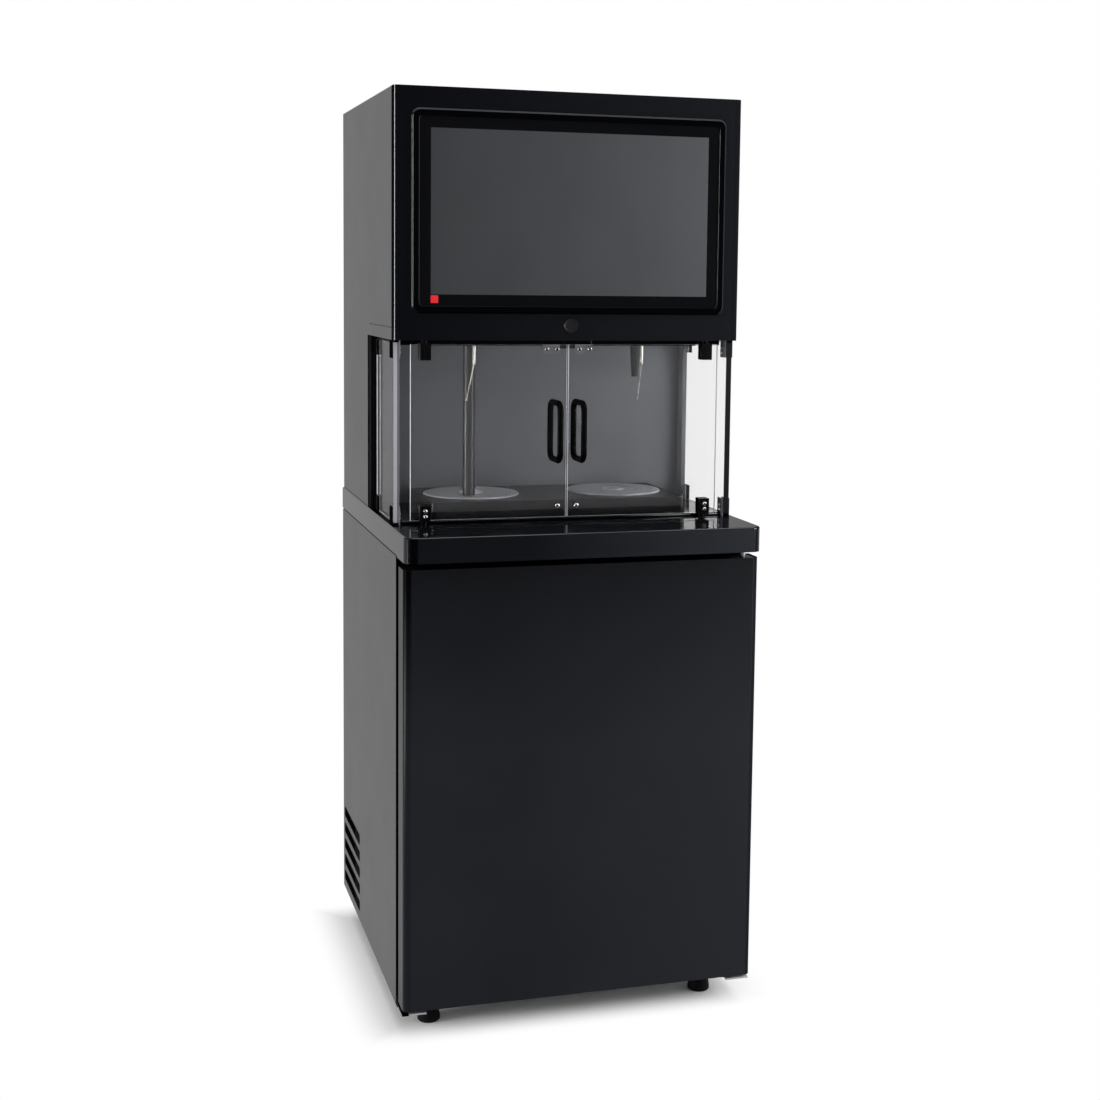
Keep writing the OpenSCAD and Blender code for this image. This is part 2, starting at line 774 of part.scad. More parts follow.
// Steel keg with chimes, hand slots, rolling beads and an open neck under the coupler
module keg(x) {
    r = keg_d / 2 - keg_bead;
    z1 = keg_h - keg_chime_h;
    chime_r = r - 6;
    color("#b9bcc0") translate([x, y_keg, z_keg]) difference() {
        union() {
            rotate_extrude() keg_outline(0);
            for (z = [keg_h * 0.36, keg_h * 0.6]) rotate_extrude() translate([r - 6, z]) circle(6 + keg_bead);
            cylinder(h = z1, r = keg_neck_r);
            cylinder(h = keg_shoulder_r, r = chime_r);
            translate([0, 0, z1 - keg_shoulder_r]) cylinder(h = keg_h - z1 + keg_shoulder_r, r = chime_r);
            translate([0, 0, z1]) cylinder(h = keg_neck_h, r = keg_neck_r);
        }
        rotate_extrude() keg_outline(keg_wall_t);
        translate([0, 0, z1 - 2 * keg_wall_t]) cylinder(h = keg_neck_h + 3 * keg_wall_t, r = keg_bore_r);
        translate([0, 0, -cut]) cylinder(h = keg_chime_h / 2 + cut, r = chime_r - keg_chime_t);
        translate([0, 0, z1]) difference() {
            cylinder(h = keg_chime_h + cut, r = chime_r - keg_chime_t);
            cylinder(h = keg_neck_h, r = keg_neck_r);
        }
        for (a = [0, 180]) rotate([0, 0, a]) translate([chime_r, 0, keg_h - keg_chime_h / 2])
            rotate([0, 90, 0]) linear_extrude(4 * keg_chime_t, center = true)
                rounded_rect(keg_slot_h, keg_slot_w, keg_slot_h / 2 - 1);
    }
}

module keg_left() {
    keg(-x_keg);
}

module keg_right() {
    keg(x_keg);
}

// Couplers with a lever, a gas port towards the middle and a beer stem on top
module keg_couplers() {
    z0 = z_keg_top - keg_chime_h + keg_neck_h;
    lever_r = 5;
    color("#c4c7cb") for (s = [-1, 1]) translate([s * x_keg, y_keg, 0]) {
        translate([0, 0, z0]) cylinder(h = coupler_base_h, r = coupler_r);
        translate([0, 0, z0 + coupler_base_h]) cylinder(h = coupler_h - coupler_base_h, r = coupler_stem_r);
        translate([0, 0, coupler_gas_z]) rotate([0, -s * 90, 0])
            cylinder(h = coupler_stem_r + gas_port_l, r = gas_port_r);
        translate([0, 0, z0 + coupler_base_h - 10]) rotate([90, 0, 0])
            cylinder(h = coupler_r + coupler_lever_l, r = lever_r);
    }
}

module gas_cylinder() {
    color("#5c6067") translate([-gas_x, y_gas, z_shelf]) rotate_extrude() {
        square([gas_r, gas_h - gas_r]);
        intersection() {
            translate([0, gas_h - gas_r]) circle(gas_r);
            translate([0, gas_h - gas_r]) square([gas_r, gas_r]);
        }
        square([gas_neck_r, gas_h + gas_neck_h]);
    }
}

// Regulator on the cylinder's neck, with a gauge towards the front and an outlet towards the middle
module gas_regulator() {
    color("#caa24a") translate([-gas_x, y_gas, 0]) {
        translate([0, 0, z_regulator - gas_valve_h]) cylinder(h = gas_valve_h + regulator_r, r = regulator_r);
        translate([0, 0, z_regulator]) rotate([0, 90, 0])
            cylinder(h = regulator_r + gas_port_l, r = gas_port_r);
        translate([0, 0, z_regulator]) rotate([90, 0, 0]) {
            cylinder(h = regulator_r + 10, r = 6);
            translate([0, 0, regulator_r + 10]) cylinder(h = 14, r = gauge_r);
        }
    }
}

// Gas line from the regulator to both couplers
module gas_line() {
    x_port = x_keg - coupler_stem_r - gas_port_l;
    x_out = gas_x - regulator_r - gas_port_l;
    color("#2d5fa8") {
        bar([[-x_out, y_gas, z_regulator], [0, y_gas, z_regulator], [0, y_keg, z_regulator],
            [0, y_keg, coupler_gas_z]], gas_line_r, gas_bend);
        translate([-x_port, y_keg, coupler_gas_z]) rotate([0, 90, 0])
            cylinder(h = 2 * x_port, r = gas_line_r);
    }
}

// Beer lines from the couplers, back and up through the worktop, to the valves in the head
module beer_lines() {
    d = [nozzle_x - x_keg, y_riser - y_keg];
    joint_h = 20;
    color("#e8e4d6") for (s = [-1, 1]) {
        translate([s * x_keg, y_keg, 0]) rotate([0, 0, -s * atan2(d.x, d.y)]) bar([
            [0, 0, z_coupler_top], [0, 0, z_line], [0, norm(d), z_line], [0, norm(d), z_top]
        ], line_r, line_bend);
        translate([s * nozzle_x, 0, 0]) {
            translate([0, y_riser, z_top - joint_h / 2]) cylinder(h = joint_h, r = line_r + 1);
            bar([
                [0, y_riser, z_top], [0, y_riser, z_line_top],
                [0, y_nozzle, z_line_top], [0, y_nozzle, z_valve]
            ], line_r, line_bend);
        }
    }
}

// Cold plate on the liner's back wall with a serpentine tube
module evaporator() {
    plate_w = 2 * x_liner - 110;
    tube_r = 4;
    rows = 8;
    pitch = 36;
    bend = pitch / 2 - 1;
    y_plate_face = y_liner_back - liner_t - 2;
    z0 = z_ceiling - 40;
    a = plate_w / 2 - 20;
    route = [for (i = [0 : rows - 1], k = [0, 1])
        [(i + k) % 2 == 0 ? -a : a, y_plate_face - tube_r, z0 - i * pitch]];
    color("#c7d0d6") {
        upright(plate_w, rows * pitch + 20, 10, y_plate_face, 2, 0, z0 - (rows - 1) * pitch / 2);
        bar(route, tube_r, bend);
    }
}

module compressor() {
    q = compressor_dome_r;
    lip = compressor_foot_r + 4;
    plate_t = 4;
    color("#17181a") translate([compressor_x, y_fan, z_pan]) {
        translate([0, 0, compressor_foot_h]) rotate_extrude() {
            square([compressor_r, compressor_h - q]);
            square([compressor_r - q, compressor_h]);
            translate([compressor_r - q, compressor_h - q]) circle(q);
        }
        for (x = [-1, 1], y = [-1, 1]) translate([x * compressor_foot_x, y * compressor_foot_y, 0])
            cylinder(h = compressor_foot_h, r = compressor_foot_r);
        translate([0, 0, compressor_foot_h]) linear_extrude(plate_t)
            rounded_rect(2 * (compressor_foot_x + lip), 2 * (compressor_foot_y + lip), lip);
        for (y = [-1, 1]) translate([-compressor_r + q / 4, y * compressor_stub_y, compressor_h - q])
            rotate([0, -90, 0]) cylinder(h = compressor_stub_l, r = compressor_stub_r);
    }
}

// Finned condenser with the fan's shroud, motor and spindle
module condenser() {
    x0 = x_condenser;
    d = condenser_d;
    y0 = y_fan - d / 2;
    row_step = condenser_h / condenser_rows_n;
    strut_w = 14;
    fin_step = (d - condenser_fin_t) / (condenser_fins_n - 1);
    color("#8f969c") difference() {
        union() {
            for (i = [0 : condenser_fins_n - 1]) block([x0, y0 + i * fin_step, z_pan],
                [x0 + condenser_t, y0 + i * fin_step + condenser_fin_t, z_pan + condenser_h]);
            for (k = [1, 2], i = [0 : condenser_rows_n - 1])
                translate([x0 + k * condenser_t / 3, y0, z_pan + (i + 0.5) * row_step]) rotate([-90, 0, 0])
                    cylinder(h = d, r = condenser_tube_r);
            block([x0 + condenser_t, y0, z_pan], [x0 + condenser_t + shroud_t, y0 + d, z_pan + condenser_h]);
        }
        translate([x0 + condenser_t - cut, y_fan, z_fan]) rotate([0, 90, 0])
            cylinder(h = shroud_t + 2 * cut, r = fan_r + fan_tip_gap);
    }
    color("#202224") {
        translate([fan_x - fan_w / 2, y_fan, z_fan]) rotate([0, 90, 0])
            cylinder(h = fan_w + run_gap, r = fan_shaft_r);
        translate([fan_x + fan_w / 2 + run_gap, y_fan, z_fan]) rotate([0, 90, 0])
            cylinder(h = fan_motor_l, r = fan_motor_r);
        block([fan_x + fan_w, y_fan - strut_w, z_pan], [fan_x + fan_w + strut_w, y_fan + strut_w, z_fan]);
    }
}

module fan_blades() {
    span = fan_r - fan_hub_r + 3;
    color("#3d4146") translate([fan_x - fan_w / 2, y_fan, z_fan]) rotate([0, 90, 0]) difference() {
        union() {
            cylinder(h = fan_w, r = fan_hub_r);
            intersection() {
                cylinder(h = fan_w, r = fan_r);
                for (i = [0 : fan_blades_n - 1]) rotate([0, 0, i * 360 / fan_blades_n])
                    translate([fan_hub_r - 3, 0, fan_w / 2]) rotate([fan_pitch_deg, 0, 0])
                        translate([0, -fan_r / 2, -fan_blade_t / 2]) cube([span, fan_r, fan_blade_t]);
            }
        }
        translate([0, 0, -cut]) cylinder(h = fan_w + 2 * cut, r = fan_shaft_r + pin_clear);
    }
}

// Chamber

// Sill plate with a round front nose
module sill() {
    nose = sill_t / 2;
    color("#17181b") translate([-x_sill, 0, 0]) rotate([90, 0, 90]) linear_extrude(2 * x_sill) {
        translate([y_sill + nose, worktop_h]) square([y_wall - y_sill - nose, sill_t]);
        translate([y_sill + nose, worktop_h + nose]) circle(nose);
    }
}

module plate_places() {
    for (s = [-1, 1]) translate([s * plate_x, y_plate, 0]) children();
}

// Raised housing over the drip basin, with a seat and a drain well for each plate
module tray_housing() {
    lip = 8;
    nose = 6;
    color("#1b1c20") difference() {
        translate([0, 0, z_sill]) linear_extrude(tray_h) fronted(tray_w, y_wall - y_tray, nose, y_tray);
        block([-tray_w / 2 + tray_wall_t, y_tray + tray_wall_t, z_sill - cut],
            [tray_w / 2 - tray_wall_t, y_wall - tray_wall_t, z_tray - 2 * tray_wall_t]);
        plate_places() {
            translate([0, 0, z_tray - plate_sink])
                cylinder(h = plate_sink + cut, r = plate_d / 2 + run_gap, $fn = 96);
            translate([0, 0, z_tray - 2 * tray_wall_t - cut])
                cylinder(h = 2 * tray_wall_t + 2 * cut, r = plate_d / 2 - lip, $fn = 96);
        }
    }
}

// Polished plate with a bevelled rim, a raised ring and drain holes
module cup_plate(s) {
    bevel = 1.5;
    ring = 2;
    drain_r = 2.5;
    drains = 12;
    r = plate_d / 2;
    z = z_tray - plate_sink;
    color("#c9ccd0") translate([s * plate_x, y_plate, z]) difference() {
        rotate_extrude($fn = 96) {
            polygon([[0, 0], [r, 0], [r, plate_t - bevel], [r - bevel, plate_t], [0, plate_t]]);
            translate([plate_ring_r - ring, 0]) square([ring, plate_t + 1.2]);
        }
        for (i = [0 : drains - 1]) rotate([0, 0, i * 360 / drains])
            translate([plate_ring_r - 3 * ring, 0, -cut]) cylinder(h = plate_t + 2 * cut, r = drain_r);
    }
}

module cup_plate_left() {
    cup_plate(-1);
}

module cup_plate_right() {
    cup_plate(1);
}

// Glossy back wall with the jambs that close the corners behind the side panels
module back_wall() {
    color("#2a2b2f") block([-x_inner, y_wall, worktop_h], [x_inner, y_wall + back_wall_t, z_head]);
}

// Black posts between the back wall and the side panels
module jambs() {
    color("#101113") for (s = [-1, 1]) translate([s * (x_inner - jamb_w / 2), 0, 0])
        block([-jamb_w / 2, y_jamb, worktop_h], [jamb_w / 2, y_wall, z_head]);
}

// Side sheet that covers the head and runs down beside the column
module cheek(s) {
    x0 = s < 0 ? -x_head : x_inner;
    seam_rise = 20;
    seam = sheet_t / 2;
    color("#1c1d20") difference() {
        side_profile([
            [y_body, z_head], [y_wall, z_head], [y_wall, worktop_h], [y_rear, worktop_h],
            [y_rear, overall_h], [y_body, overall_h]
        ], x0, x0 + sheet_t);
        translate([s * x_head, 0, z_head + seam_rise])
            block([-seam, y_body - cut, 0], [seam, y_jamb, seam]);
    }
}

module cheek_left() {
    cheek(-1);
}

module cheek_right() {
    cheek(1);
}

module top_cover() {
    color("#1c1d20") block([-x_inner, y_body, overall_h - sheet_t], [x_inner, y_rear, overall_h]);
}

// Service cover with ventilation slots and a cut-out for the mains inlet
module rear_cover() {
    slot_w = x_inner - cover_slots_side - cover_slots_mid;
    slot_x = cover_slots_mid + slot_w / 2;
    color("#1c1d20") difference() {
        block([-x_inner, y_rear - sheet_t, worktop_h], [x_inner, y_rear, overall_h - sheet_t]);
        for (i = [0 : cover_slots_n - 1], s = [-1, 1])
            upright(slot_w, slot_h, slot_h / 2 - 0.5, y_rear - sheet_t - cut, sheet_t + 2 * cut, s * slot_x,
                overall_h - cover_slots_over - i * slot_pitch);
        upright(inlet_w, inlet_h, 3, y_rear - sheet_t - cut, sheet_t + 2 * cut, inlet_x, z_inlet);
    }
}

// Mains inlet with a recessed socket and three pins
module power_inlet() {
    rim = 4;
    pin = [2, 12, 4];
    pin_x = 7;
    pin_z = 3;
    color("#141416") translate([inlet_x, 0, z_inlet]) {
        difference() {
            upright(inlet_w, inlet_h, 3, y_rear - inlet_d, inlet_d, 0, 0);
            upright(inlet_w - 6 * rim, inlet_h - 2 * rim, 3, y_rear - inlet_d + rim, inlet_d, 0, 0);
        }
        for (i = [-1, 0, 1]) {
            z = i == 0 ? pin_z : -pin_z;
            translate([i * pin_x - pin.x / 2, y_rear - inlet_d + rim, z - pin.z / 2]) cube(pin);
        }
    }
}

// Folded front panel of the head, open for the display and the button
module head_front() {
    opening = 2;
    color("#121317") difference() {
        translate([0, 0, z_head]) linear_extrude(head_h) fronted(head_w, front_return, head_edge_r, y_head);
        translate([0, 0, z_soffit]) linear_extrude(head_h - 2 * sheet_t)
            fronted(head_w - 2 * sheet_t, front_return, head_edge_r - sheet_t, y_head + sheet_t);
        upright(module_w + 2 * opening, module_h + 2 * opening, 3, y_head - cut,
            sheet_t + 2 * cut, 0, z_screen);
        translate([0, y_head - cut, z_button]) rotate([-90, 0, 0])
            cylinder(h = sheet_t + 2 * cut, r = button_r + run_gap);
    }
}

// Ceiling of the chamber, pierced for the nozzles and the stems
module soffit() {
    color("#191a1d") difference() {
        block([-x_inner, y_body, z_head], [x_inner, y_wall + back_wall_t, z_soffit]);
        for (s = [-1, 1]) {
            translate([s * nozzle_x, y_nozzle, z_head - cut])
                cylinder(h = sheet_t + 2 * cut, r = nozzle_tip_r);
            translate([s * nozzle_x, y_stem, z_head - cut]) cylinder(h = sheet_t + 2 * cut, r = stem_r);
        }
    }
}

module side_panel(s) {
    x0 = s < 0 ? -x_panel : x_panel_in;
    color([0.85, 0.92, 0.95, 0.35]) block([x0, y_panel, z_panel], [x0 + panel_t, y_jamb, z_panel_top]);
}

module side_panel_left() {
    side_panel(-1);
}

module side_panel_right() {
    side_panel(1);
}

// Clips that hold the corners of the side panels to the worktop and the ceiling
module panel_clips() {
    color("#131417") for (s = [-1, 1], y = [y_panel + 2, y_jamb - 2 - panel_clip_l], top = [0, 1])
        panel_clip(s, y, top);
}

module panel_clip(s, y, top) {
    z0 = top == 0 ? worktop_h : z_panel_top - panel_clip_h;
    z1 = top == 0 ? z_panel + panel_clip_h : z_head;
    low = x_panel_in - panel_clip_t;
    screw_r = 2.5;
    translate([0, y, 0]) mirror([s < 0 ? 1 : 0, 0, 0]) {
        difference() {
            block([low, 0, z0], [x_panel + panel_clip_t, panel_clip_l, z1]);
            block([x_panel_in, -cut, z_panel], [x_panel, panel_clip_l + cut, z_panel_top]);
        }
        for (z = [z0 + panel_clip_h / 3, z0 + 2 * panel_clip_h / 3]) translate([low, panel_clip_l / 2, z])
            rotate([0, -90, 0]) cylinder(h = 1.5, r = screw_r);
    }
}

// Bushes over and under the clear doors that take the pivot pins
module pivot_sockets() {
    depth = leaf_lift - clip_cap - 0.5;
    color("#131417") for (s = [-1, 1], z = [worktop_h, z_head - depth]) translate([s * x_pivot, y_pivot, z])
        difference() {
            cylinder(h = depth, r = socket_r);
            translate([0, 0, -cut]) cylinder(h = depth + 2 * cut, r = pivot_r + pin_clear);
        }
}

// Magnetic catch under the head, behind the meeting edges
module catch_block() {
    h = leaf_lift + 7;
    d = 14;
    y = y_leaf_back + strike_t + run_gap;
    color("#101113") block([-strike_w - 12, y, z_head - h], [strike_w + 12, y + d, z_head]);
}

// Clear doors

module leaf(s) {
    w = x_leaf - leaf_meet_gap / 2;
    x0 = s < 0 ? -x_leaf : leaf_meet_gap / 2;
    color([0.85, 0.92, 0.95, 0.35]) block([x0, y_leaf, z_leaf], [x0 + w, y_leaf_back, z_leaf_top]);
}

module leaf_left() {
    leaf(-1);
}

module leaf_right() {
    leaf(1);
}

// Clips that clamp a clear door's edge and carry its pivot pins
module pivot_clips(s) {
    pin_l = leaf_lift - clip_cap - 0.5;
    screw_r = 2.6;
    color("#131417") translate([s * x_pivot, 0, 0]) for (top = [0, 1]) {
        z0 = top == 0 ? z_leaf - clip_cap : z_leaf_top - clip_h;
        z1 = top == 0 ? z_leaf + clip_h : z_leaf_top + clip_cap;
        difference() {
            block([-clip_w / 2, y_leaf - clip_front, z0], [clip_w / 2, y_leaf_back + clip_back, z1]);
            block([-clip_w / 2 - cut, y_leaf, z_leaf], [clip_w / 2 + cut, y_leaf_back, z_leaf_top]);
        }
        translate([0, y_pivot, top == 0 ? z0 - pin_l : z1]) cylinder(h = pin_l, r = pivot_r);
        for (k = [1, 2]) translate([0, y_leaf - clip_front, z0 + k * (z1 - z0) / 3]) rotate([90, 0, 0])
            cylinder(h = 1, r = screw_r);
    }
}

module pivot_clips_left() {
    pivot_clips(-1);
}

module pivot_clips_right() {
    pivot_clips(1);
}

// Two bow handles, back to back through the glass
module handles(s) {
    zc = (z_leaf + z_leaf_top) / 2;
    color("#0c0d0f") for (face = [[y_leaf, -1], [y_leaf_back, 1]]) {
        y1 = face[0] + face[1] * handle_reach;
        bar([for (p = [[face[0], -1], [y1, -1], [y1, 1], [face[0], 1]])
            [s * x_handle, p[0], zc + p[1] * handle_centres / 2]], handle_r, handle_bend);
    }
}

module handles_left() {
    handles(-1);
}

module handles_right() {
    handles(1);
}

// Steel strike plate with screws at the top and a stud at the bottom of a clear door
module strikes(s) {
    x0 = leaf_meet_gap / 2 + 12;
    screw_in = 6;
    stud_rise = 19;
    stud_h = 1.5;
    color("#c4c7cb") mirror([s < 0 ? 1 : 0, 0, 0]) {
        block([x0, y_leaf_back, z_leaf_top - strike_h], [x0 + strike_w, y_leaf_back + strike_t, z_leaf_top]);
        for (x = [x0 + screw_in, x0 + strike_w - screw_in])
            translate([x, y_leaf, z_leaf_top - strike_h / 2]) rotate([90, 0, 0])
                cylinder(h = stud_h, r = stud_r - 0.5);
        translate([x0 + 3, y_leaf, z_leaf + stud_rise]) rotate([90, 0, 0]) cylinder(h = stud_h, r = stud_r);
    }
}

module strikes_left() {
    strikes(-1);
}

module strikes_right() {
    strikes(1);
}

// Screen and button

module screen_frame() {
    chamfer = 2;
    color("#0e0f12") difference() {
        union() {
            upright(frame_w, frame_h, frame_r, y_head - frame_proud + chamfer,
                frame_proud - chamfer, 0, z_screen);
            upright(frame_w - 2 * chamfer, frame_h - 2 * chamfer, frame_r - chamfer, y_head - frame_proud,
                frame_proud, 0, z_screen);
        }
        upright(glass_w, glass_h, glass_r, y_head - frame_proud - cut, frame_proud + 2 * cut, 0, z_screen);
    }
}

module touch_glass() {
    color("#33363b") upright(glass_w, glass_h, glass_r, y_glass, glass_t, 0, z_screen);
}

module display_module() {
    color("#2b2d30") upright(module_w, module_h, 2, y_head, module_d, 0, z_screen);
}

module indicator() {
    t = 0.6;
    x = -glass_w / 2 + indicator_side + indicator_s / 2;
    z = z_screen - glass_h / 2 + indicator_low + indicator_s / 2;
    color("#d6262b") upright(indicator_s, indicator_s, 1, y_glass - t, t, x, z);
}

// Button cap with a dished face and a plunger
module button_cap() {
    l = button_proud + sheet_t + cap_back;
    color("#1f2126") translate([0, y_head - button_proud, z_button]) rotate([-90, 0, 0]) {
        rotate_extrude() polygon([
            [0, 0.6], [button_r - 3, 0.4], [button_r - 1, 0], [button_r, 1], [button_r, l], [0, l]
        ]);
        translate([0, 0, l / 2]) cylinder(h = l / 2 + plunger_l, r = plunger_r);
    }
}

// Switch body behind the button, with a bore for the plunger
module button_housing() {
    room = cap_back + button_travel + run_gap;
    l = 16;
    wall = 2;
    color("#33363b") translate([0, y_head + sheet_t, z_button]) rotate([-90, 0, 0]) difference() {
        cylinder(h = room + l, r = button_r + run_gap + wall);
        translate([0, 0, -cut]) cylinder(h = room + cut, r = button_r + run_gap);
        cylinder(h = room + plunger_l, r = plunger_r + run_gap);
    }
}

// Dispensing

// Short tapered nozzle with a spigot through the ceiling
module nozzle_right() {
    color("#2d2f33") translate([nozzle_x, y_nozzle, 0]) difference() {
        union() {
            translate([0, 0, z_head - nozzle_l]) cylinder(h = nozzle_l, r1 = nozzle_tip_r, r2 = nozzle_r);
            translate([0, 0, z_head - cut]) cylinder(h = sheet_t + cut, r = nozzle_tip_r);
        }
        translate([0, 0, z_head - nozzle_l - cut]) cylinder(h = nozzle_l, r = nozzle_tip_r - 2);
    }
}

// Long tube that fills from the bottom, with a collar near its foot
module filling_tube() {
    z0 = z_tray + tube_foot_gap;
    collar = 1.5;
    collar_rise = 13;
    color("#6a6d72") translate([-nozzle_x, y_nozzle, 0]) difference() {
        union() {
            translate([0, 0, z0]) cylinder(h = z_head - z0, r = nozzle_r);
            translate([0, 0, z0 + collar_rise]) cylinder(h = 2 * collar, r = nozzle_r + collar);
            translate([0, 0, z_head - 6]) cylinder(h = 6, r = nozzle_r + 4);
            translate([0, 0, z_head - cut]) cylinder(h = sheet_t + cut, r = nozzle_tip_r);
        }
        translate([0, 0, z0 - cut]) cylinder(h = z_head - z0 - 10, r = nozzle_r - 1.5);
    }
}

// Bright stems in the ceiling, each with a thin leaning rod and a ball tip
module sensor_stems() {
    collar_h = 5;
    tip_r = rod_r + 0.8;
    color("#d2d4d6") for (s = [-1, 1]) translate([s * nozzle_x, y_stem, z_head]) {
        v = [s < 0 ? -rod_out_left : rod_out_right, rod_back, -rod_drop];
        translate([0, 0, -collar_h]) cylinder(h = collar_h, r = stem_r + 5);
        translate([0, 0, -stem_l]) cylinder(h = stem_l + sheet_t, r1 = stem_r - 1, r2 = stem_r);
        translate([0, 0, -stem_l]) sphere(stem_r - 1);
        translate([0, 0, -stem_l]) aim(v) cylinder(h = norm(v), r = rod_r);
        translate([0, 0, -stem_l]) translate(v) sphere(tip_r);
    }
}

// Solenoid valves over the nozzles
module dispense_valves() {
    coil_r = 15;
    coil_l = 34;
    color("#4a4d52") for (s = [-1, 1]) translate([s * nozzle_x, y_nozzle, z_soffit]) {
        translate([-valve_s / 2, -valve_s / 2, 0]) cube([valve_s, valve_s, valve_h - 14]);
        translate([0, 0, valve_h - 14]) cylinder(h = 14, r = line_r + 4);
        translate([0, valve_s / 2, valve_h / 2 - 8]) rotate([-90, 0, 0]) cylinder(h = coil_l, r = coil_r);
    }
}

// Steel box for the controller, on the ceiling of the chamber
module controller_box() {
    step = box_w / box_slots_n;
    color("#6f7479") translate([-box_w / 2, y_wall - box_d - box_wall_gap, z_soffit]) difference() {
        cube([box_w, box_d, box_h]);
        for (i = [0 : box_slots_n - 1]) translate([(i + 0.5) * step - box_slot_w / 2, -cut, box_h / 4])
            cube([box_slot_w, box_d + 2 * cut, box_slot_h]);
    }
}

cabinet_shell();
base_pan();
feet();
cabinet_insulation();
inner_liner();
rear_grille();
worktop();
hinge_brackets();
door_panel();
door_foam();
door_liner();
door_gasket();
keg_left();
keg_right();
keg_couplers();
gas_cylinder();
gas_regulator();
gas_line();
beer_lines();
evaporator();
compressor();
condenser();
fan_blades();
sill();
tray_housing();
cup_plate_left();
cup_plate_right();
back_wall();
jambs();
cheek_left();
cheek_right();
top_cover();
rear_cover();
head_front();
soffit();
side_panel_left();
side_panel_right();
panel_clips();
pivot_sockets();
catch_block();
leaf_left();
leaf_right();
pivot_clips_left();
pivot_clips_right();
handles_left();
handles_right();
strikes_left();
strikes_right();
screen_frame();
touch_glass();
display_module();
indicator();
button_cap();
button_housing();
nozzle_right();
filling_tube();
sensor_stems();
dispense_valves();
controller_box();
power_inlet();
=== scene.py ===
"""Looks of a draft beer dispenser: finishes, small fasteners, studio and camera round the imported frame."""

import math

import bmesh
import bpy
from mathutils import Matrix, Vector


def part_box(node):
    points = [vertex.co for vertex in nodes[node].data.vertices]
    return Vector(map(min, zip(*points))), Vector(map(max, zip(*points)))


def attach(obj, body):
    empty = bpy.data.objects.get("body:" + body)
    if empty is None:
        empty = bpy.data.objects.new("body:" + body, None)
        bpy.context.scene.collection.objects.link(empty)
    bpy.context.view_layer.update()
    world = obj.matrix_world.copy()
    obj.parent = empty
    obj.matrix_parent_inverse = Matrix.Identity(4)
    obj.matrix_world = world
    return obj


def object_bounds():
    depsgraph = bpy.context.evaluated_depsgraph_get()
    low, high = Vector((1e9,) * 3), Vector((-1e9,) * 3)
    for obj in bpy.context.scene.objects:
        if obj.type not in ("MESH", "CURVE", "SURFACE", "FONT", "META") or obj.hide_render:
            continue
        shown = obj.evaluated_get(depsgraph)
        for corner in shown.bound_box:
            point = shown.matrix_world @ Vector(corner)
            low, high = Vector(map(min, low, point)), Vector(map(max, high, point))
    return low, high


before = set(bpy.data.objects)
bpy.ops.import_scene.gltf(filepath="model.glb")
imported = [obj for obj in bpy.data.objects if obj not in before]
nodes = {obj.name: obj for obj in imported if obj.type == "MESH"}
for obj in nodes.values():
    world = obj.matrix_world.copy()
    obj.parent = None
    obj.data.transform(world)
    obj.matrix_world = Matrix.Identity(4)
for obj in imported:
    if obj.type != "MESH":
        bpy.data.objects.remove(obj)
cad_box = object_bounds()
MM = 0.001


class Graph:
    """A node tree and short ways to add to it."""

    def __init__(self, tree):
        self.tree = tree

    def node(self, kind, settings=None, **inputs):
        """A new node with its settings and inputs; an underscore in an input's name stands for a space."""
        made = self.tree.nodes.new(kind)
        for key, value in (settings or {}).items():
            setattr(made, key, value)
        for key, value in inputs.items():
            self.feed(made.inputs[key.replace("_", " ")], value)
        return made

    def feed(self, socket, value):
        """Links a socket to another one, or sets it to a plain value."""
        if isinstance(value, bpy.types.NodeSocket):
            self.tree.links.new(value, socket)
        else:
            socket.default_value = value

    def math(self, operation, first, second=0.0):
        """The result of one operation on two numbers."""
        made = self.tree.nodes.new("ShaderNodeMath")
        made.operation = operation
        self.feed(made.inputs[0], first)
        self.feed(made.inputs[1], second)
        return made.outputs[0]

    def axes(self, vector):
        """The three numbers of a vector, by axis."""
        return self.node("ShaderNodeSeparateXYZ", Vector=vector).outputs

    def remap(self, source, low, high, start=0.3, stop=0.7, shape="LINEAR"):
        """A number that goes from low to high while source goes from start to stop."""
        made = self.node("ShaderNodeMapRange", {"interpolation_type": shape}, Value=source)
        for key, value in (("From Min", start), ("From Max", stop), ("To Min", low), ("To Max", high)):
            self.feed(made.inputs[key], value)
        return made.outputs[0]

    def ease(self, source, low, high, start, stop):
        """As remap, with a gentle beginning and end."""
        return self.remap(source, low, high, start, stop, "SMOOTHSTEP")

    def rise(self, source, place, blur):
        """0 before place and 1 after it, with a change that reaches blur to each side."""
        return self.remap(source, 0.0, 1.0, place - blur, place + blur)

    def fall(self, source, place, blur):
        """1 before place and 0 after it, with a change that reaches blur to each side."""
        return self.remap(source, 1.0, 0.0, place - blur, place + blur)

    def between(self, factor, first, second):
        """A number from first to second."""
        made = self.tree.nodes.new("ShaderNodeMix")
        for index, value in ((0, factor), (2, first), (3, second)):
            self.feed(made.inputs[index], value)
        return made.outputs[0]

    def blend(self, factor, first, second):
        """A colour from first to second."""
        made = self.tree.nodes.new("ShaderNodeMix")
        made.data_type = "RGBA"
        self.feed(made.inputs[0], factor)
        for index, value in ((6, first), (7, second)):
            self.feed(made.inputs[index], (*value, 1) if isinstance(value, tuple) else value)
        return made.outputs[2]


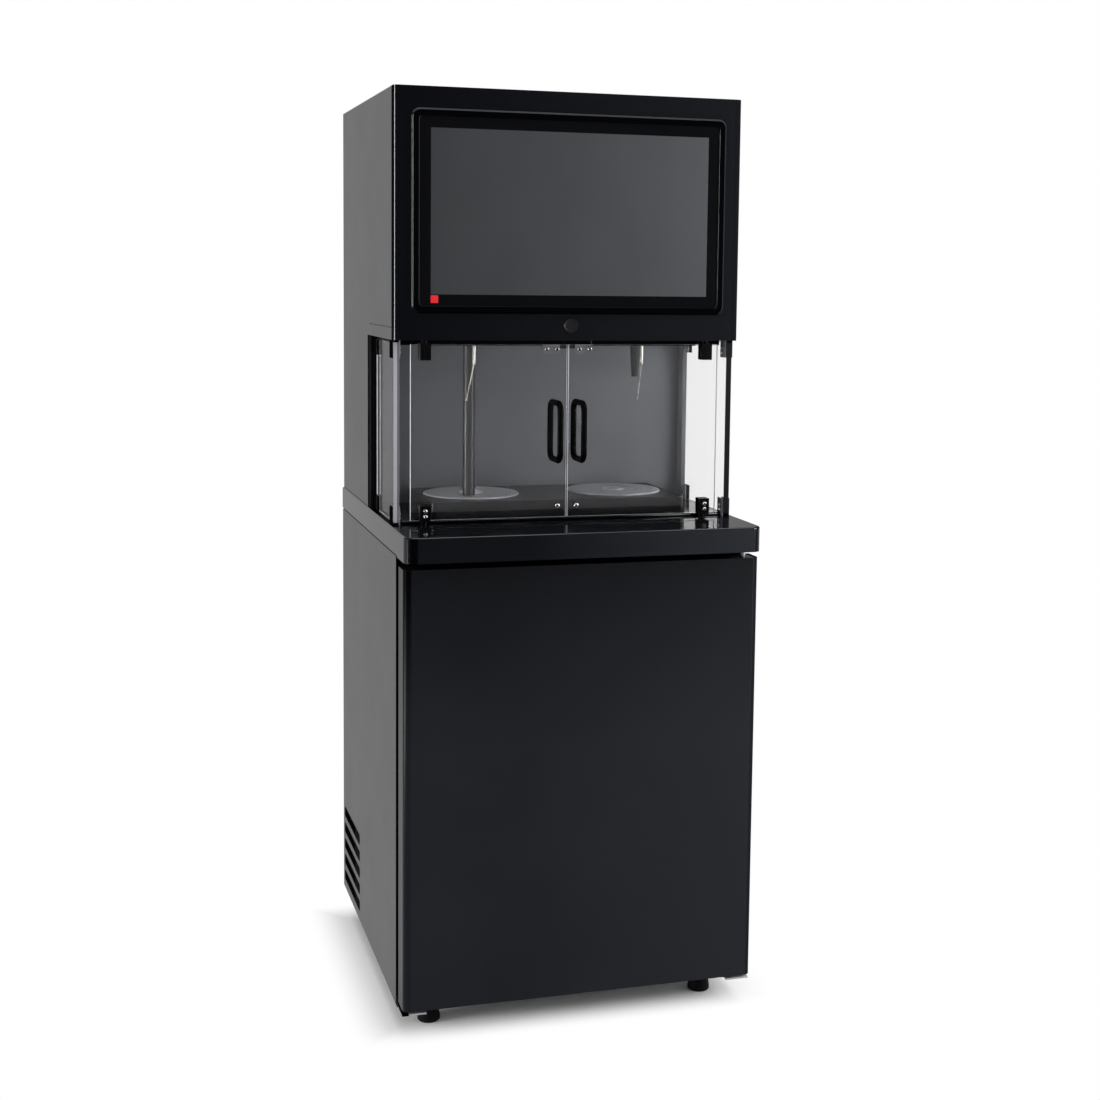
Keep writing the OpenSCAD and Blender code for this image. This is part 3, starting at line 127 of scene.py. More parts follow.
class Finish(Graph):
    """A procedural material: one shader and the textures that feed it, in object space, in metres."""

    def __init__(self, name, colour, roughness, **sockets):
        self.material = bpy.data.materials.new(name)
        self.material.use_nodes = True
        super().__init__(self.material.node_tree)
        self.shader = self.tree.nodes["Principled BSDF"]
        self.colour = colour
        self.roughness = roughness
        self.shader.inputs["Base Color"].default_value = (*colour, 1)
        self.shader.inputs["Roughness"].default_value = roughness
        for socket, value in sockets.items():
            self.shader.inputs[socket.replace("_", " ")].default_value = value
        self.space = self.node("ShaderNodeTexCoord").outputs
        self.place = self.space["Object"]

    def noise(self, scale, detail=3.0, stretch=(1, 1, 1), place=None):
        """Cloudy noise from 0 to 1."""
        spot = self.node("ShaderNodeMapping", Vector=place or self.place, Scale=stretch)
        texture = self.node("ShaderNodeTexNoise", Vector=spot.outputs[0], Scale=scale, Detail=detail)
        return texture.outputs["Fac"]

    def tint(self, scale, amount, stretch=(1, 1, 1)):
        """The colour drifts a little darker and lighter over the surface."""
        dark = tuple(c * (1 - amount) for c in self.colour)
        light = tuple(min(c * (1 + amount), 1.0) for c in self.colour)
        drift = self.remap(self.noise(scale, detail=4.0, stretch=stretch), 0.0, 1.0)
        self.feed(self.shader.inputs["Base Color"], self.blend(drift, dark, light))

    def polish(self, scale, spread, stretch=(1, 1, 1)):
        """The gloss changes from place to place, as handling and cleaning leave it."""
        patch = self.noise(scale, detail=5.0, stretch=stretch)
        value = self.remap(patch, max(self.roughness - spread, 0.0), self.roughness + spread)
        self.feed(self.shader.inputs["Roughness"], value)

    def grain(self, scale, depth, stretch=(1, 1, 1), detail=2.0):
        """Fine relief, depth in metres, laid over any relief that is there already."""
        self.relief(self.noise(scale, detail, stretch), depth)

    def relief(self, height, depth):
        """A bump of a height from 0 to 1, depth in metres."""
        made = self.node("ShaderNodeBump", Height=height, Distance=depth, Strength=1.0)
        socket = self.shader.inputs["Normal"]
        if socket.links:
            self.tree.links.new(socket.links[0].from_socket, made.inputs["Normal"])
        self.tree.links.new(made.outputs[0], socket)

    def cover(self, mask, colour, level):
        """Where mask is 1 the surface has a second colour and gloss level."""
        base, gloss = (self.shader.inputs[key] for key in ("Base Color", "Specular IOR Level"))
        self.feed(base, self.blend(mask, base.links[0].from_socket, colour))
        before = gloss.links[0].from_socket if gloss.links else gloss.default_value
        self.feed(gloss, self.between(mask, before, level))


def painted(name, colour, roughness, level=0.5, peel=0.000002):
    """Painted sheet steel with a slight orange peel."""
    finish = Finish(name, colour, roughness, Specular_IOR_Level=level)
    finish.tint(scale=5.0, amount=0.12)
    finish.polish(scale=12.0, spread=0.01)
    finish.grain(scale=260.0, depth=peel)
    return finish


def moulded(name, colour, roughness, grain=0.00004, level=0.5, spread=0.06):
    """Moulded plastic with a fine spark-eroded grain."""
    finish = Finish(name, colour, roughness, Specular_IOR_Level=level)
    finish.tint(scale=12.0, amount=0.1)
    finish.polish(scale=30.0, spread=spread)
    finish.grain(scale=1400.0, depth=grain)
    return finish


def brushed(name, colour, roughness, along):
    """Metal with brush marks along one axis."""
    finish = Finish(name, colour, roughness, Metallic=1.0)
    stretch = tuple(0.03 if axis == along else 1.0 for axis in "xyz")
    finish.tint(scale=40.0, amount=0.06, stretch=stretch)
    finish.polish(scale=160.0, spread=0.06, stretch=stretch)
    finish.grain(scale=900.0, depth=0.000015, stretch=stretch)
    return finish


def spun(name, colour, roughness, centre):
    """Satin metal with the rings of a lathe about an upright axis."""
    finish = Finish(name, colour, roughness, Metallic=0.35)
    shifted = finish.node("ShaderNodeMapping", Vector=finish.place, Location=(-centre.x, -centre.y, 0))
    flat = finish.node("ShaderNodeVectorMath", {"operation": "MULTIPLY"})
    finish.feed(flat.inputs[0], shifted.outputs[0])
    flat.inputs[1].default_value = (1, 1, 0)
    radius = finish.node("ShaderNodeVectorMath", {"operation": "LENGTH"})
    finish.feed(radius.inputs[0], flat.outputs[0])
    ring = finish.node("ShaderNodeCombineXYZ", X=radius.outputs["Value"])
    rings = finish.noise(scale=900.0, place=ring.outputs[0])
    finish.feed(finish.shader.inputs["Roughness"], finish.remap(rings, roughness * 0.6, roughness * 1.5))
    finish.relief(rings, depth=0.000008)
    finish.grain(scale=60.0, depth=0.00001)
    return finish


def cast(name, colour, roughness, metal, depth):
    """Cast or forged metal with a soft uneven skin."""
    finish = Finish(name, colour, roughness, Metallic=metal)
    finish.tint(scale=30.0, amount=0.12)
    finish.polish(scale=50.0, spread=0.08)
    finish.grain(scale=260.0, depth=depth)
    return finish


def soft(name, colour, roughness, scale, depth, level=0.5):
    """Rubber, foam and other matt soft stuff."""
    finish = Finish(name, colour, roughness, Specular_IOR_Level=level)
    finish.tint(scale=20.0, amount=0.15)
    finish.polish(scale=40.0, spread=0.05)
    finish.grain(scale, depth, detail=6.0)
    return finish


def clear(name, across, edge, ior, tape=None):
    """Clear sheet with faint wiping marks, cut edges coloured with painted light and shade, and, from one
    depth on, black tape.
    """
    plain, tape_black, cut_roughness = (1.0, 1.0, 1.0), (0.002, 0.002, 0.0025), 0.45
    cut_turn, cut_blur, tape_blur = 0.45, 0.15, 0.3 * MM
    finish = Finish(name, plain, 0.0, IOR=ior)
    facing = finish.math("ABSOLUTE", finish.axes(finish.space["Normal"])[across])
    rim = finish.fall(facing, cut_turn, cut_blur)
    # The cut edges take the colour edge, which is painted light and shade.
    colour = finish.blend(rim, plain, edge)
    through = finish.remap(rim, 1.0, 0.1, start=0.0, stop=1.0)
    if tape is not None:
        covered = finish.rise(finish.axes(finish.place)["Y"], tape, tape_blur)
        colour = finish.blend(covered, colour, tape_black)
        rim = finish.math("MAXIMUM", rim, covered)
        through = finish.between(covered, through, 0.0)
        finish.feed(finish.shader.inputs["Specular IOR Level"], finish.between(covered, 0.5, 0.0))
    wipes = finish.noise(scale=9.0, detail=6.0, stretch=(1, 1, 0.35))
    haze = finish.remap(wipes, 0.0, 0.035, start=0.5, stop=0.8)
    finish.feed(finish.shader.inputs["Base Color"], colour)
    finish.feed(finish.shader.inputs["Roughness"], finish.between(rim, haze, cut_roughness))
    finish.feed(finish.shader.inputs["Transmission Weight"], through)
    finish.grain(scale=3.0, depth=0.000004)
    return finish


def inside(finish, axis, centre, half, blur):
    """1 inside a band about centre on one axis, 0 outside, with a soft edge."""
    away = finish.math("ABSOLUTE", finish.math("SUBTRACT", axis, centre))
    return finish.fall(away, half, blur)


def middle_of(node):
    """The middle of a node's box."""
    low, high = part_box(node)
    return (low + high) / 2


def screen_glass(name):
    """Touch glass: a printed black border round the grey of a dark panel, with a painted sheen that makes
    the panel a little paler at its right.
    """
    border, panel = (0.0020, 0.0022, 0.0030), (0.036, 0.040, 0.045)
    lit_width, lit_height, print_blur = 476.6 * MM, 268.0 * MM, 0.4 * MM
    border_roughness, panel_roughness = 0.12, 0.42
    finish = Finish(name, border, border_roughness)
    middle = middle_of("touch_glass")
    x, _, z = finish.axes(finish.place)
    active = finish.math(
        "MULTIPLY",
        inside(finish, x, middle.x, lit_width / 2, print_blur),
        inside(finish, z, middle.z, lit_height / 2, print_blur),
    )
    dust = finish.remap(finish.noise(scale=5.0, detail=5.0), 0.94, 1.06)
    # Painted sheen: the panel's grey grows paler towards its right end.
    paler = finish.remap(x, 0.78, 1.02, start=-lit_width / 2, stop=lit_width / 2)
    drift = finish.math("MULTIPLY", dust, paler)
    lit = finish.node("ShaderNodeVectorMath", {"operation": "SCALE"}, Scale=drift)
    lit.inputs[0].default_value = panel
    finish.feed(finish.shader.inputs["Base Color"], finish.blend(active, border, lit.outputs[0]))
    smear = finish.remap(finish.noise(scale=14.0, detail=6.0, stretch=(1, 1, 0.4)), -0.03, 0.03)
    gloss = finish.remap(active, border_roughness, panel_roughness, start=0.0, stop=1.0)
    finish.feed(finish.shader.inputs["Roughness"], finish.math("ADD", gloss, smear))
    finish.grain(scale=900.0, depth=0.000004)
    return finish


PAINT = (0.0060, 0.0066, 0.0100)
RUBBER = (0.0030, 0.0031, 0.0034)
CLIP_BLACK = (0.0022, 0.0023, 0.0027)
DEEP_BLACK = (0.0008, 0.0009, 0.0012)
WALL_GREY = (0.145, 0.150, 0.165)
LEFT_PLATE = middle_of("cup_plate_left")
RIGHT_PLATE = middle_of("cup_plate_right")

# Depth from which black tape covers the left side panel
PANEL_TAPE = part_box("side_panel_left")[1].y - 55.0 * MM

FINISHES = {
    "cabinet_black": painted("cabinet_paint", PAINT, 0.30),
    "side_black": painted("side_paint", PAINT, 0.30),
    "door_black": painted("door_paint", (0.0115, 0.0125, 0.0165), 0.34, level=0.35),
    "front_black": painted("front_lacquer", (0.0008, 0.0012, 0.0028), 0.10, level=0.8),
    "worktop_black": painted("worktop_lacquer", (0.0040, 0.0046, 0.0064), 0.08, peel=0.0000004),
    "sill_black": painted("sill_lacquer", (0.0020, 0.0023, 0.0032), 0.12, level=0.40),
    "jamb_rubber": soft("jamb_rubber", RUBBER, 0.75, scale=500.0, depth=0.00006, level=0.05),
    "seal_rubber": soft("seal_rubber", RUBBER, 0.75, scale=500.0, depth=0.00006, level=0.01),
    "tray_black": painted("tray_lacquer", (0.0170, 0.0175, 0.0195), 0.20, level=0.3, peel=0.000001),
    "soffit_black": painted("soffit_paint", (0.0060, 0.0064, 0.0074), 0.45),
    "wall_grey": painted("wall_coating", WALL_GREY, 0.45, level=0.30, peel=0.000001),
    "base_steel": brushed("pan_steel", (0.42, 0.43, 0.45), 0.38, along="x"),
    "zinc": cast("zinc_plate", (0.62, 0.63, 0.65), 0.34, metal=0.45, depth=0.00002),
    # One steel for both cup plates: the left one's paler colour is painted light, the right one's darker
    # colour painted shade.
    "plate_steel_left": spun("left_plate_steel_painted_light", (0.66, 0.67, 0.70), 0.26, LEFT_PLATE),
    "plate_steel_right": spun("right_plate_steel_painted_shade", (0.50, 0.51, 0.54), 0.26, RIGHT_PLATE),
    "stem_steel": cast("stem_steel", (0.46, 0.44, 0.41), 0.26, metal=1.0, depth=0.000002),
    "strike_grey": cast("strike_steel", (0.155, 0.158, 0.168), 0.50, metal=0.0, depth=0.00002),
    "screw_steel": cast("screw_steel", (0.80, 0.81, 0.83), 0.22, metal=1.0, depth=0.00001),
    "keg_steel": brushed("keg_steel", (0.62, 0.63, 0.65), 0.27, along="z"),
    "heat_aluminium": brushed("fin_aluminium", (0.70, 0.71, 0.72), 0.34, along="z"),
    "regulator_brass": cast("regulator_brass", (0.62, 0.45, 0.20), 0.28, metal=1.0, depth=0.00002),
    "gas_grey": cast("cylinder_enamel", (0.20, 0.21, 0.22), 0.35, metal=0.0, depth=0.00005),
    "compressor_black": cast("compressor_enamel", (0.010, 0.010, 0.011), 0.38, metal=0.0, depth=0.00008),
    "valve_grey": moulded("valve_plastic", (0.24, 0.25, 0.27), 0.42),
    "gas_blue": moulded("gas_hose", (0.02, 0.10, 0.36), 0.32),
    "line_clear": moulded("beer_hose", (0.62, 0.60, 0.52), 0.25),
    "fan_plastic": moulded("fan_plastic", (0.012, 0.012, 0.013), 0.4),
    "fitting_black": moulded("clip_plastic", CLIP_BLACK, 0.30, grain=0.00002, level=0.08),
    "panel_fitting": moulded("panel_clip_plastic", CLIP_BLACK, 0.30, grain=0.00002, level=0.0),
    "handle_black": moulded(
        "handle_plastic", (0.0006, 0.0006, 0.0008), 0.06, grain=0.000001, level=0.03, spread=0.01
    ),
    "frame_black": moulded(
        "frame_plastic", (0.0008, 0.0010, 0.0015), 0.10, grain=0.000002, level=0.08, spread=0.01
    ),
    "button_black": moulded("button_plastic", (0.0080, 0.0078, 0.0095), 0.34, grain=0.00003, level=0.25),
    "display_dark": moulded("panel_back", (0.020, 0.021, 0.023), 0.5),
    "indicator_red": moulded("indicator_lens", (0.62, 0.020, 0.026), 0.24, grain=0.00001),
    "nozzle_dark": moulded("nozzle_plastic", (0.014, 0.015, 0.017), 0.34, grain=0.00001, level=0.3),
    "tube_dark": painted("tube_lacquer", (0.022, 0.022, 0.025), 0.20, level=0.35, peel=0.000001),
    "foot_rubber": soft(
        "foot_rubber", (0.0040, 0.0040, 0.0045), 0.6, scale=700.0, depth=0.0001, level=0.15
    ),
    "gasket_rubber": soft(
        "gasket_rubber", (0.0060, 0.0060, 0.0068), 0.6, scale=500.0, depth=0.00006, level=0.05
    ),
    "foam": soft("foam", (0.72, 0.62, 0.38), 0.9, scale=380.0, depth=0.0006),
    "liner_white": moulded("liner_plastic", (0.76, 0.77, 0.78), 0.38, grain=0.00008),
    "screen_dark": screen_glass("touch_glass"),
    # The cut edges of one acrylic have painted light and shade: lilac grey on the left panel, black on the
    # right panel, near white on the doors.
    "clear_panel_left": clear("left_panel_acrylic", "X", (0.35, 0.345, 0.385), ior=1.04, tape=PANEL_TAPE),
    "clear_panel_right": clear("right_panel_acrylic", "X", (0.006, 0.006, 0.009), ior=1.2),
    "clear_door": clear("door_acrylic", "Y", (0.94, 0.95, 0.97), ior=1.3),
}
NODE_FINISH = {
    "cabinet_black": ["cabinet_shell", "rear_grille"],
    "base_steel": ["base_pan"],
    "foot_rubber": ["feet"],
    "foam": ["cabinet_insulation", "door_foam"],
    "liner_white": ["inner_liner", "door_liner"],
    "gasket_rubber": ["door_gasket"],
    "worktop_black": ["worktop"],
    "zinc": ["hinge_brackets"],
    "door_black": ["door_panel"],
    "keg_steel": ["keg_left", "keg_right"],
    "regulator_brass": ["keg_couplers", "gas_regulator"],
    "gas_grey": ["gas_cylinder"],
    "gas_blue": ["gas_line"],
    "line_clear": ["beer_lines"],
    "heat_aluminium": ["evaporator", "condenser"],
    "compressor_black": ["compressor"],
    "fan_plastic": ["fan_blades"],
    "sill_black": ["sill"],
    "tray_black": ["tray_housing"],
    "plate_steel_left": ["cup_plate_left"],
    "plate_steel_right": ["cup_plate_right"],
    "wall_grey": ["back_wall"],
    "jamb_rubber": ["jambs"],
    "side_black": ["cheek_left", "cheek_right", "top_cover", "rear_cover"],
    "front_black": ["head_front"],
    "soffit_black": ["soffit"],
    "clear_panel_left": ["side_panel_left"],
    "clear_panel_right": ["side_panel_right"],
    "clear_door": ["leaf_left", "leaf_right"],
    "fitting_black": [
        "pivot_sockets",
        "catch_block",
        "pivot_clips_left",
        "pivot_clips_right",
        "power_inlet",
    ],
    "panel_fitting": ["panel_clips"],
    "handle_black": ["handles_left", "handles_right"],
    "stem_steel": ["sensor_stems"],
    "strike_grey": ["strikes_left", "strikes_right"],
    "frame_black": ["screen_frame"],
    "screen_dark": ["touch_glass"],
    "display_dark": ["display_module"],
    "indicator_red": ["indicator"],
    "button_black": ["button_cap", "button_housing"],
    "nozzle_dark": ["nozzle_right"],
    "tube_dark": ["filling_tube"],
    "valve_grey": ["dispense_valves", "controller_box"],
}

# Tones that change over a surface, among them painted shade, sheen, highlights and dark reflections


def towards(finish, axis, sign):
    """1 on the flat faces that look along one axis, 0 elsewhere."""
    flat, blur = 0.95, 0.02
    facing = finish.math("MULTIPLY", finish.axes(finish.space["Normal"])[axis], sign)
    return finish.rise(facing, flat, blur)


def paint_corner_reflection(finish, node, width, turned, fade=None):
    """Paints a dark reflection on the front at its left end, where the sheet is bent round and would mirror
    dark surroundings, and less so from fade's depths down.
    """
    blur, turn_blur, weakest = 2.0 * MM, 0.1, 0.2
    low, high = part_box(node)
    x, _, z = finish.axes(finish.place)
    near = finish.fall(x, low.x + width, blur)
    facing = finish.axes(finish.space["Normal"])["Y"]
    mask = finish.math("MULTIPLY", near, finish.fall(facing, -turned, turn_blur))
    if fade is not None:
        start, stop = (high.z - depth for depth in fade)
        mask = finish.math("MULTIPLY", mask, finish.remap(z, weakest, 1.0, start, stop))
    finish.cover(mask, DEEP_BLACK, level=0.03)


def right_end(finish, node, width, colour):
    """Takes the gloss off the right end and gives it a flat colour, which on the head is painted sheen."""
    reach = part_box(node)[1].x - width
    end = finish.rise(finish.axes(finish.place)["X"], reach, 0.5 * MM)
    finish.cover(end, colour, level=0.0)


def paint_sheen_right(finish, colour, level, start):
    """Paints a sheen on the front: it turns to a paler colour from start to its right end."""
    stop = cad_box[1].x - 12.0 * MM
    across = finish.remap(finish.axes(finish.place)["X"], 0.0, 1.0, start, stop)
    finish.cover(finish.math("MULTIPLY", across, towards(finish, "Y", -1.0)), colour, level)


def paint_shade_top(finish, amount):
    """Paints shade on the upper part of the door, which turns darker towards its top, as it lies under the
    worktop.
    """
    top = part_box("door_panel")[1].z
    start, stop = top - 304.0 * MM, top - 4.0 * MM
    finish.cover(
        finish.remap(finish.axes(finish.place)["Z"], 0.0, amount, start, stop),
        DEEP_BLACK,
        level=0.05,
    )


def paint_gap_shade(finish, width):
    """Paints the gap's shade on the front edge of the cabinet beside the door's gasket: it turns black with
    no gloss.
    """
    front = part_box("cabinet_shell")[0].y + width
    edge = finish.fall(finish.axes(finish.place)["Y"], front, 0.3 * MM)
    finish.cover(edge, DEEP_BLACK, level=0.0)


def frame_edges(finish):
    """Gives the frame's edges that look left more gloss, and paints highlights in paler colours on those
    that look right or up.
    """
    right_highlight, top_highlight, tone_level = (0.030, 0.031, 0.034), (0.060, 0.061, 0.065), 0.08
    side_turn, top_turn, blur = 0.3, 0.4, 0.1
    x, _, z = finish.axes(finish.space["Normal"])
    finish.cover(finish.fall(x, -side_turn, blur), finish.colour, level=1.0)
    finish.cover(finish.rise(x, side_turn, blur), right_highlight, tone_level)
    height = finish.axes(finish.place)["Z"]
    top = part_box("screen_frame")[1].z
    upper = finish.remap(height, 0.0, 1.0, start=middle_of("screen_frame").z, stop=top)
    above = finish.math("MULTIPLY", finish.rise(z, top_turn, blur), upper)
    finish.cover(above, top_highlight, tone_level)


def paint_socket_shade(finish):
    """Paints shade into the socket of a screw, whose own space is in millimetres from its axis."""
    socket_square, blur = 2.7, 0.5
    x, y, _ = finish.axes(finish.place)
    square = finish.math("ADD", finish.math("MULTIPLY", x, x), finish.math("MULTIPLY", y, y))
    finish.cover(finish.fall(square, socket_square, blur), DEEP_BLACK, level=0.0)


def blacken_foam_with_seam_shade(finish):
    """Blackens the foam where it shows: in the seam under the worktop, as painted shade of that shadow gap,
    and round the compressor.
    """
    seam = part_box("worktop")[0].z - 5.5 * MM
    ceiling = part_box("rear_grille")[1].z + 3.5 * MM
    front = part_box("compressor")[0].y - 17.5 * MM
    blur = 0.5 * MM
    _, y, z = finish.axes(finish.place)
    machine = finish.math("MULTIPLY", finish.fall(z, ceiling, blur), finish.rise(y, front, blur))
    finish.cover(finish.math("MAXIMUM", finish.rise(z, seam, blur), machine), DEEP_BLACK, level=0.0)


def black_flange(finish):
    """Blackens the outer flange of the lower left hinge plate."""
    width, height = 11.0 * MM, 46.5 * MM
    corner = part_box("hinge_brackets")[0]
    x, _, z = finish.axes(finish.place)
    low = finish.fall(z, corner.z + height, 2.5 * MM)
    outer = finish.fall(x, corner.x + width, 1.0 * MM)
    finish.cover(finish.math("MULTIPLY", low, outer), DEEP_BLACK, level=0.0)


def panel_highlight_and_marks(finish):
    """Marks the left panel: a painted highlight strip between black clips before its tape, a dark line on
    its edge.
    """
    strip_width, strip_highlight = 10.0 * MM, (0.42, 0.42, 0.44)
    clip_width, clip_height = 26.0 * MM, 28.0 * MM
    line_inset, line_half, blur = 2.0 * MM, 0.9 * MM, 0.5 * MM
    low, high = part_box("side_panel_left")
    x, y, z = finish.axes(finish.place)
    outer = towards(finish, "X", -1.0)
    tall = inside(finish, z, (low.z + high.z) / 2, (high.z - low.z) / 2 - clip_height, blur)
    ends = finish.math("SUBTRACT", 1.0, tall)
    through = finish.shader.inputs["Transmission Weight"]
    for width, reach, colour in ((clip_width, ends, DEEP_BLACK), (strip_width, tall, strip_highlight)):
        band = inside(finish, y, PANEL_TAPE - width / 2, width / 2, blur)
        mask = finish.math("MULTIPLY", finish.math("MULTIPLY", band, reach), outer)
        finish.feed(through, finish.between(mask, through.links[0].from_socket, 0.0))
        finish.cover(mask, colour, level=0.0)
    seam = inside(finish, x, high.x - line_inset, line_half, blur)
    finish.cover(finish.math("MULTIPLY", seam, towards(finish, "Y", -1.0)), DEEP_BLACK, level=0.0)


def grey_jaws(finish):
    """Gives the clips of the side panels grey inner jaws."""
    jaw_grey, blur = (0.20, 0.205, 0.22), 0.2 * MM
    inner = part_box("side_panel_right")[0].x + blur
    away = finish.math("ABSOLUTE", finish.axes(finish.place)["X"])
    finish.cover(finish.fall(away, inner, blur), jaw_grey, level=0.3)


def grey_jamb(finish):
    """Gives the right jamb the colour of the wall that it closes."""
    right = finish.rise(finish.axes(finish.place)["X"], 0.0, 10.0 * MM)
    finish.cover(right, WALL_GREY, level=0.3)


def tone_cabinet():
    """The cabinet's front edge, its door, hinge plates and foam: painted shade on the front edge, the door's
    top and the foam's seam, and a painted sheen and a painted dark reflection on the door.
    """
    door = FINISHES["door_black"]
    paint_gap_shade(FINISHES["cabinet_black"], width=12.0 * MM)
    paint_sheen_right(door, (0.0150, 0.0162, 0.0205), level=0.35, start=-100.0 * MM)
    paint_shade_top(door, amount=0.55)
    paint_corner_reflection(door, "door_panel", width=12.0 * MM, turned=0.3, fade=(224.0 * MM, 24.0 * MM))
    right_end(door, "door_panel", width=9.0 * MM, colour=(0.0110, 0.0120, 0.0150))
    blacken_foam_with_seam_shade(FINISHES["foam"])
    black_flange(FINISHES["zinc"])


def tone_head():
    """The head's front, with a painted sheen and a painted dark reflection, and the frame of its screen,
    with painted highlights.
    """
    front = FINISHES["front_black"]
    paint_sheen_right(front, (0.0064, 0.0070, 0.0092), level=0.8, start=-280.0 * MM)
    # Painted sheen: the right end's flat colour is paler than the front's own black.
    right_end(front, "head_front", width=12.5 * MM, colour=(0.0075, 0.0080, 0.0100))
    # Painted dark reflection: the front's left side face turns black with no gloss.
    front.cover(towards(front, "X", -1.0), DEEP_BLACK, level=0.0)
    frame_edges(FINISHES["frame_black"])


def tone_worktop():
    """The worktop: a painted sheen towards its right, less gloss on its left end and top than on its front,
    and a painted dark reflection at its left front corner.
    """
    worktop = FINISHES["worktop_black"]
    paint_sheen_right(worktop, (0.019, 0.021, 0.025), level=0.30, start=-100.0 * MM)
    for axis, sign in (("X", -1.0), ("Z", 1.0)):
        worktop.cover(towards(worktop, axis, sign), worktop.colour, level=0.15)
    paint_corner_reflection(worktop, "worktop", width=20.0 * MM, turned=0.8)


def tone_chamber():
    """The side panels, their clips and jambs, and the screws, with painted shade in the screw sockets and a
    painted highlight strip on the left panel.
    """
    paint_socket_shade(FINISHES["screw_steel"])
    panel_highlight_and_marks(FINISHES["clear_panel_left"])
    grey_jaws(FINISHES["panel_fitting"])
    grey_jamb(FINISHES["jamb_rubber"])


def wear(obj, finish):
    """Gives an object one finish in place of its materials."""
    obj.data.materials.clear()
    obj.data.materials.append(finish.material)


tone_cabinet()
tone_head()
tone_worktop()
tone_chamber()
for finish, names in NODE_FINISH.items():
    for name in names:
        wear(nodes[name], FINISHES[finish])

# Softened edges, width in millimetres
EDGES = {
    "cabinet_shell": 1.0,
    "door_panel": 1.5,
    "cheek_left": 1.0,
    "cheek_right": 1.0,
    "top_cover": 0.8,
    "sill": 1.0,
    "tray_housing": 1.5,
    "side_panel_left": 0.5,
    "side_panel_right": 0.5,
    "leaf_left": 0.5,
    "leaf_right": 0.5,
    "panel_clips": 0.8,
    "pivot_clips_left": 0.8,
    "pivot_clips_right": 0.8,
    "catch_block": 0.8,
    "screen_frame": 1.2,
    "touch_glass": 0.6,
    "indicator": 0.2,
}


def soften(obj, width):
    """Breaks the sharp edges of a node with a narrow round."""
    weld = obj.modifiers.new("weld", "WELD")
    weld.merge_threshold = 0.01 * MM
    bevel = obj.modifiers.new("edge", "BEVEL")
    bevel.width = width * MM
    bevel.segments = 2
    bevel.limit_method = "ANGLE"
    bevel.angle_limit = math.radians(40)
    bevel.harden_normals = True


def coat(obj, thickness):
    """Thick gloss coat over a bar, or a hair's gap round a plate where the thickness is below zero."""
    skin = obj.modifiers.new("coat", "DISPLACE")
    skin.mid_level = 0.0
    skin.strength = thickness * MM


for name, width in EDGES.items():
    soften(nodes[name], width)
for side in ("left", "right"):
    coat(nodes[f"handles_{side}"], thickness=1.2)
    coat(nodes[f"strikes_{side}"], thickness=-0.05)

# Small pieces, sizes in millimetres; a screw's size is its radius and height
SIDES = (("left", -1), ("right", 1))
PANEL_SCREW = (3.2, 2.8)
PIVOT_SCREW = (3.3, 2.4)
STRIKE_SCREW = (3.6, 2.8)
STUD = (4.0, 2.8)
TO_FRONT = (0, -1, 0)


def box_mm(node):
    """A node's lowest and highest corners in millimetres."""
    return [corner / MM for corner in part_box(node)]


def bridge(mesh, lower, upper):
    """Joins two loops that have as many points by a band of faces."""
    count = len(lower)
    for step in range(count):
        after = (step + 1) % count
        mesh.faces.new((lower[step], lower[after], upper[after], upper[step]))


def add_piece(name, mesh, finish, body="base", place=Matrix.Identity(4)):
    """Turns a mesh in millimetres into a piece that rides on a body."""
    bmesh.ops.recalc_face_normals(mesh, faces=mesh.faces)
    data = bpy.data.meshes.new(name)
    mesh.to_mesh(data)
    mesh.free()
    piece = bpy.data.objects.new(name, data)
    bpy.context.scene.collection.objects.link(piece)
    piece.matrix_world = place @ Matrix.Scale(MM, 4)
    wear(piece, FINISHES[finish])
    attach(piece, body)


def screw_head(name, spot, axis, size, body):
    """Bright pan head with a hexagon socket, on spot and facing along axis."""
    steps, socket, floor = 24, 0.48, 0.55
    radius, height = size
    rings = [(1.0, 0.0), (1.0, 0.45), (0.93, 0.72), (0.80, 0.92), (0.66, 1.0)]
    rings += [(socket, 1.0), (socket, floor)]
    mesh = bmesh.new()
    loops = []
    for share, level in rings:
        loop = []
        for step in range(steps):
            angle = 2 * math.pi * step / steps
            hexagon = math.cos(math.pi / 6) / math.cos((angle % (math.pi / 3)) - math.pi / 6)
            reach = radius * share * (hexagon if share == socket else 1.0)
            loop.append(mesh.verts.new((reach * math.cos(angle), reach * math.sin(angle), height * level)))
        loops.append(loop)
    for lower, upper in zip(loops, loops[1:]):
        bridge(mesh, lower, upper)
    mesh.faces.new(loops[-1])
    mesh.faces.new(list(reversed(loops[0])))
    turn = Vector(axis).to_track_quat("Z", "Y").to_matrix().to_4x4()
    place = Matrix.Translation(Vector(spot) * MM) @ turn
    add_piece(name, mesh, "screw_steel", body, place)


def panel_screws(side, edge):
    """Two screws on the inside of each clip of a side panel."""
    jaw, clip_height, clip_length, lift = 2.0, 26.0, 22.0, 4.0
    low, high = box_mm("panel_clips")
    inner = box_mm("side_panel_right")[0].x - jaw
    feet = (low.z, high.z - clip_height - lift)
    levels = [z + clip_height * third / 3 for z in feet for third in (1, 2)]
    for place, y in (("front", low.y + clip_length / 2), ("rear", high.y - clip_length / 2)):
        for count, z in enumerate(levels):
            spot = (inner * edge, y, z)
            screw_head(f"panel_screw_{side}_{place}_{count}", spot, (-edge, 0, 0), PANEL_SCREW, "base")


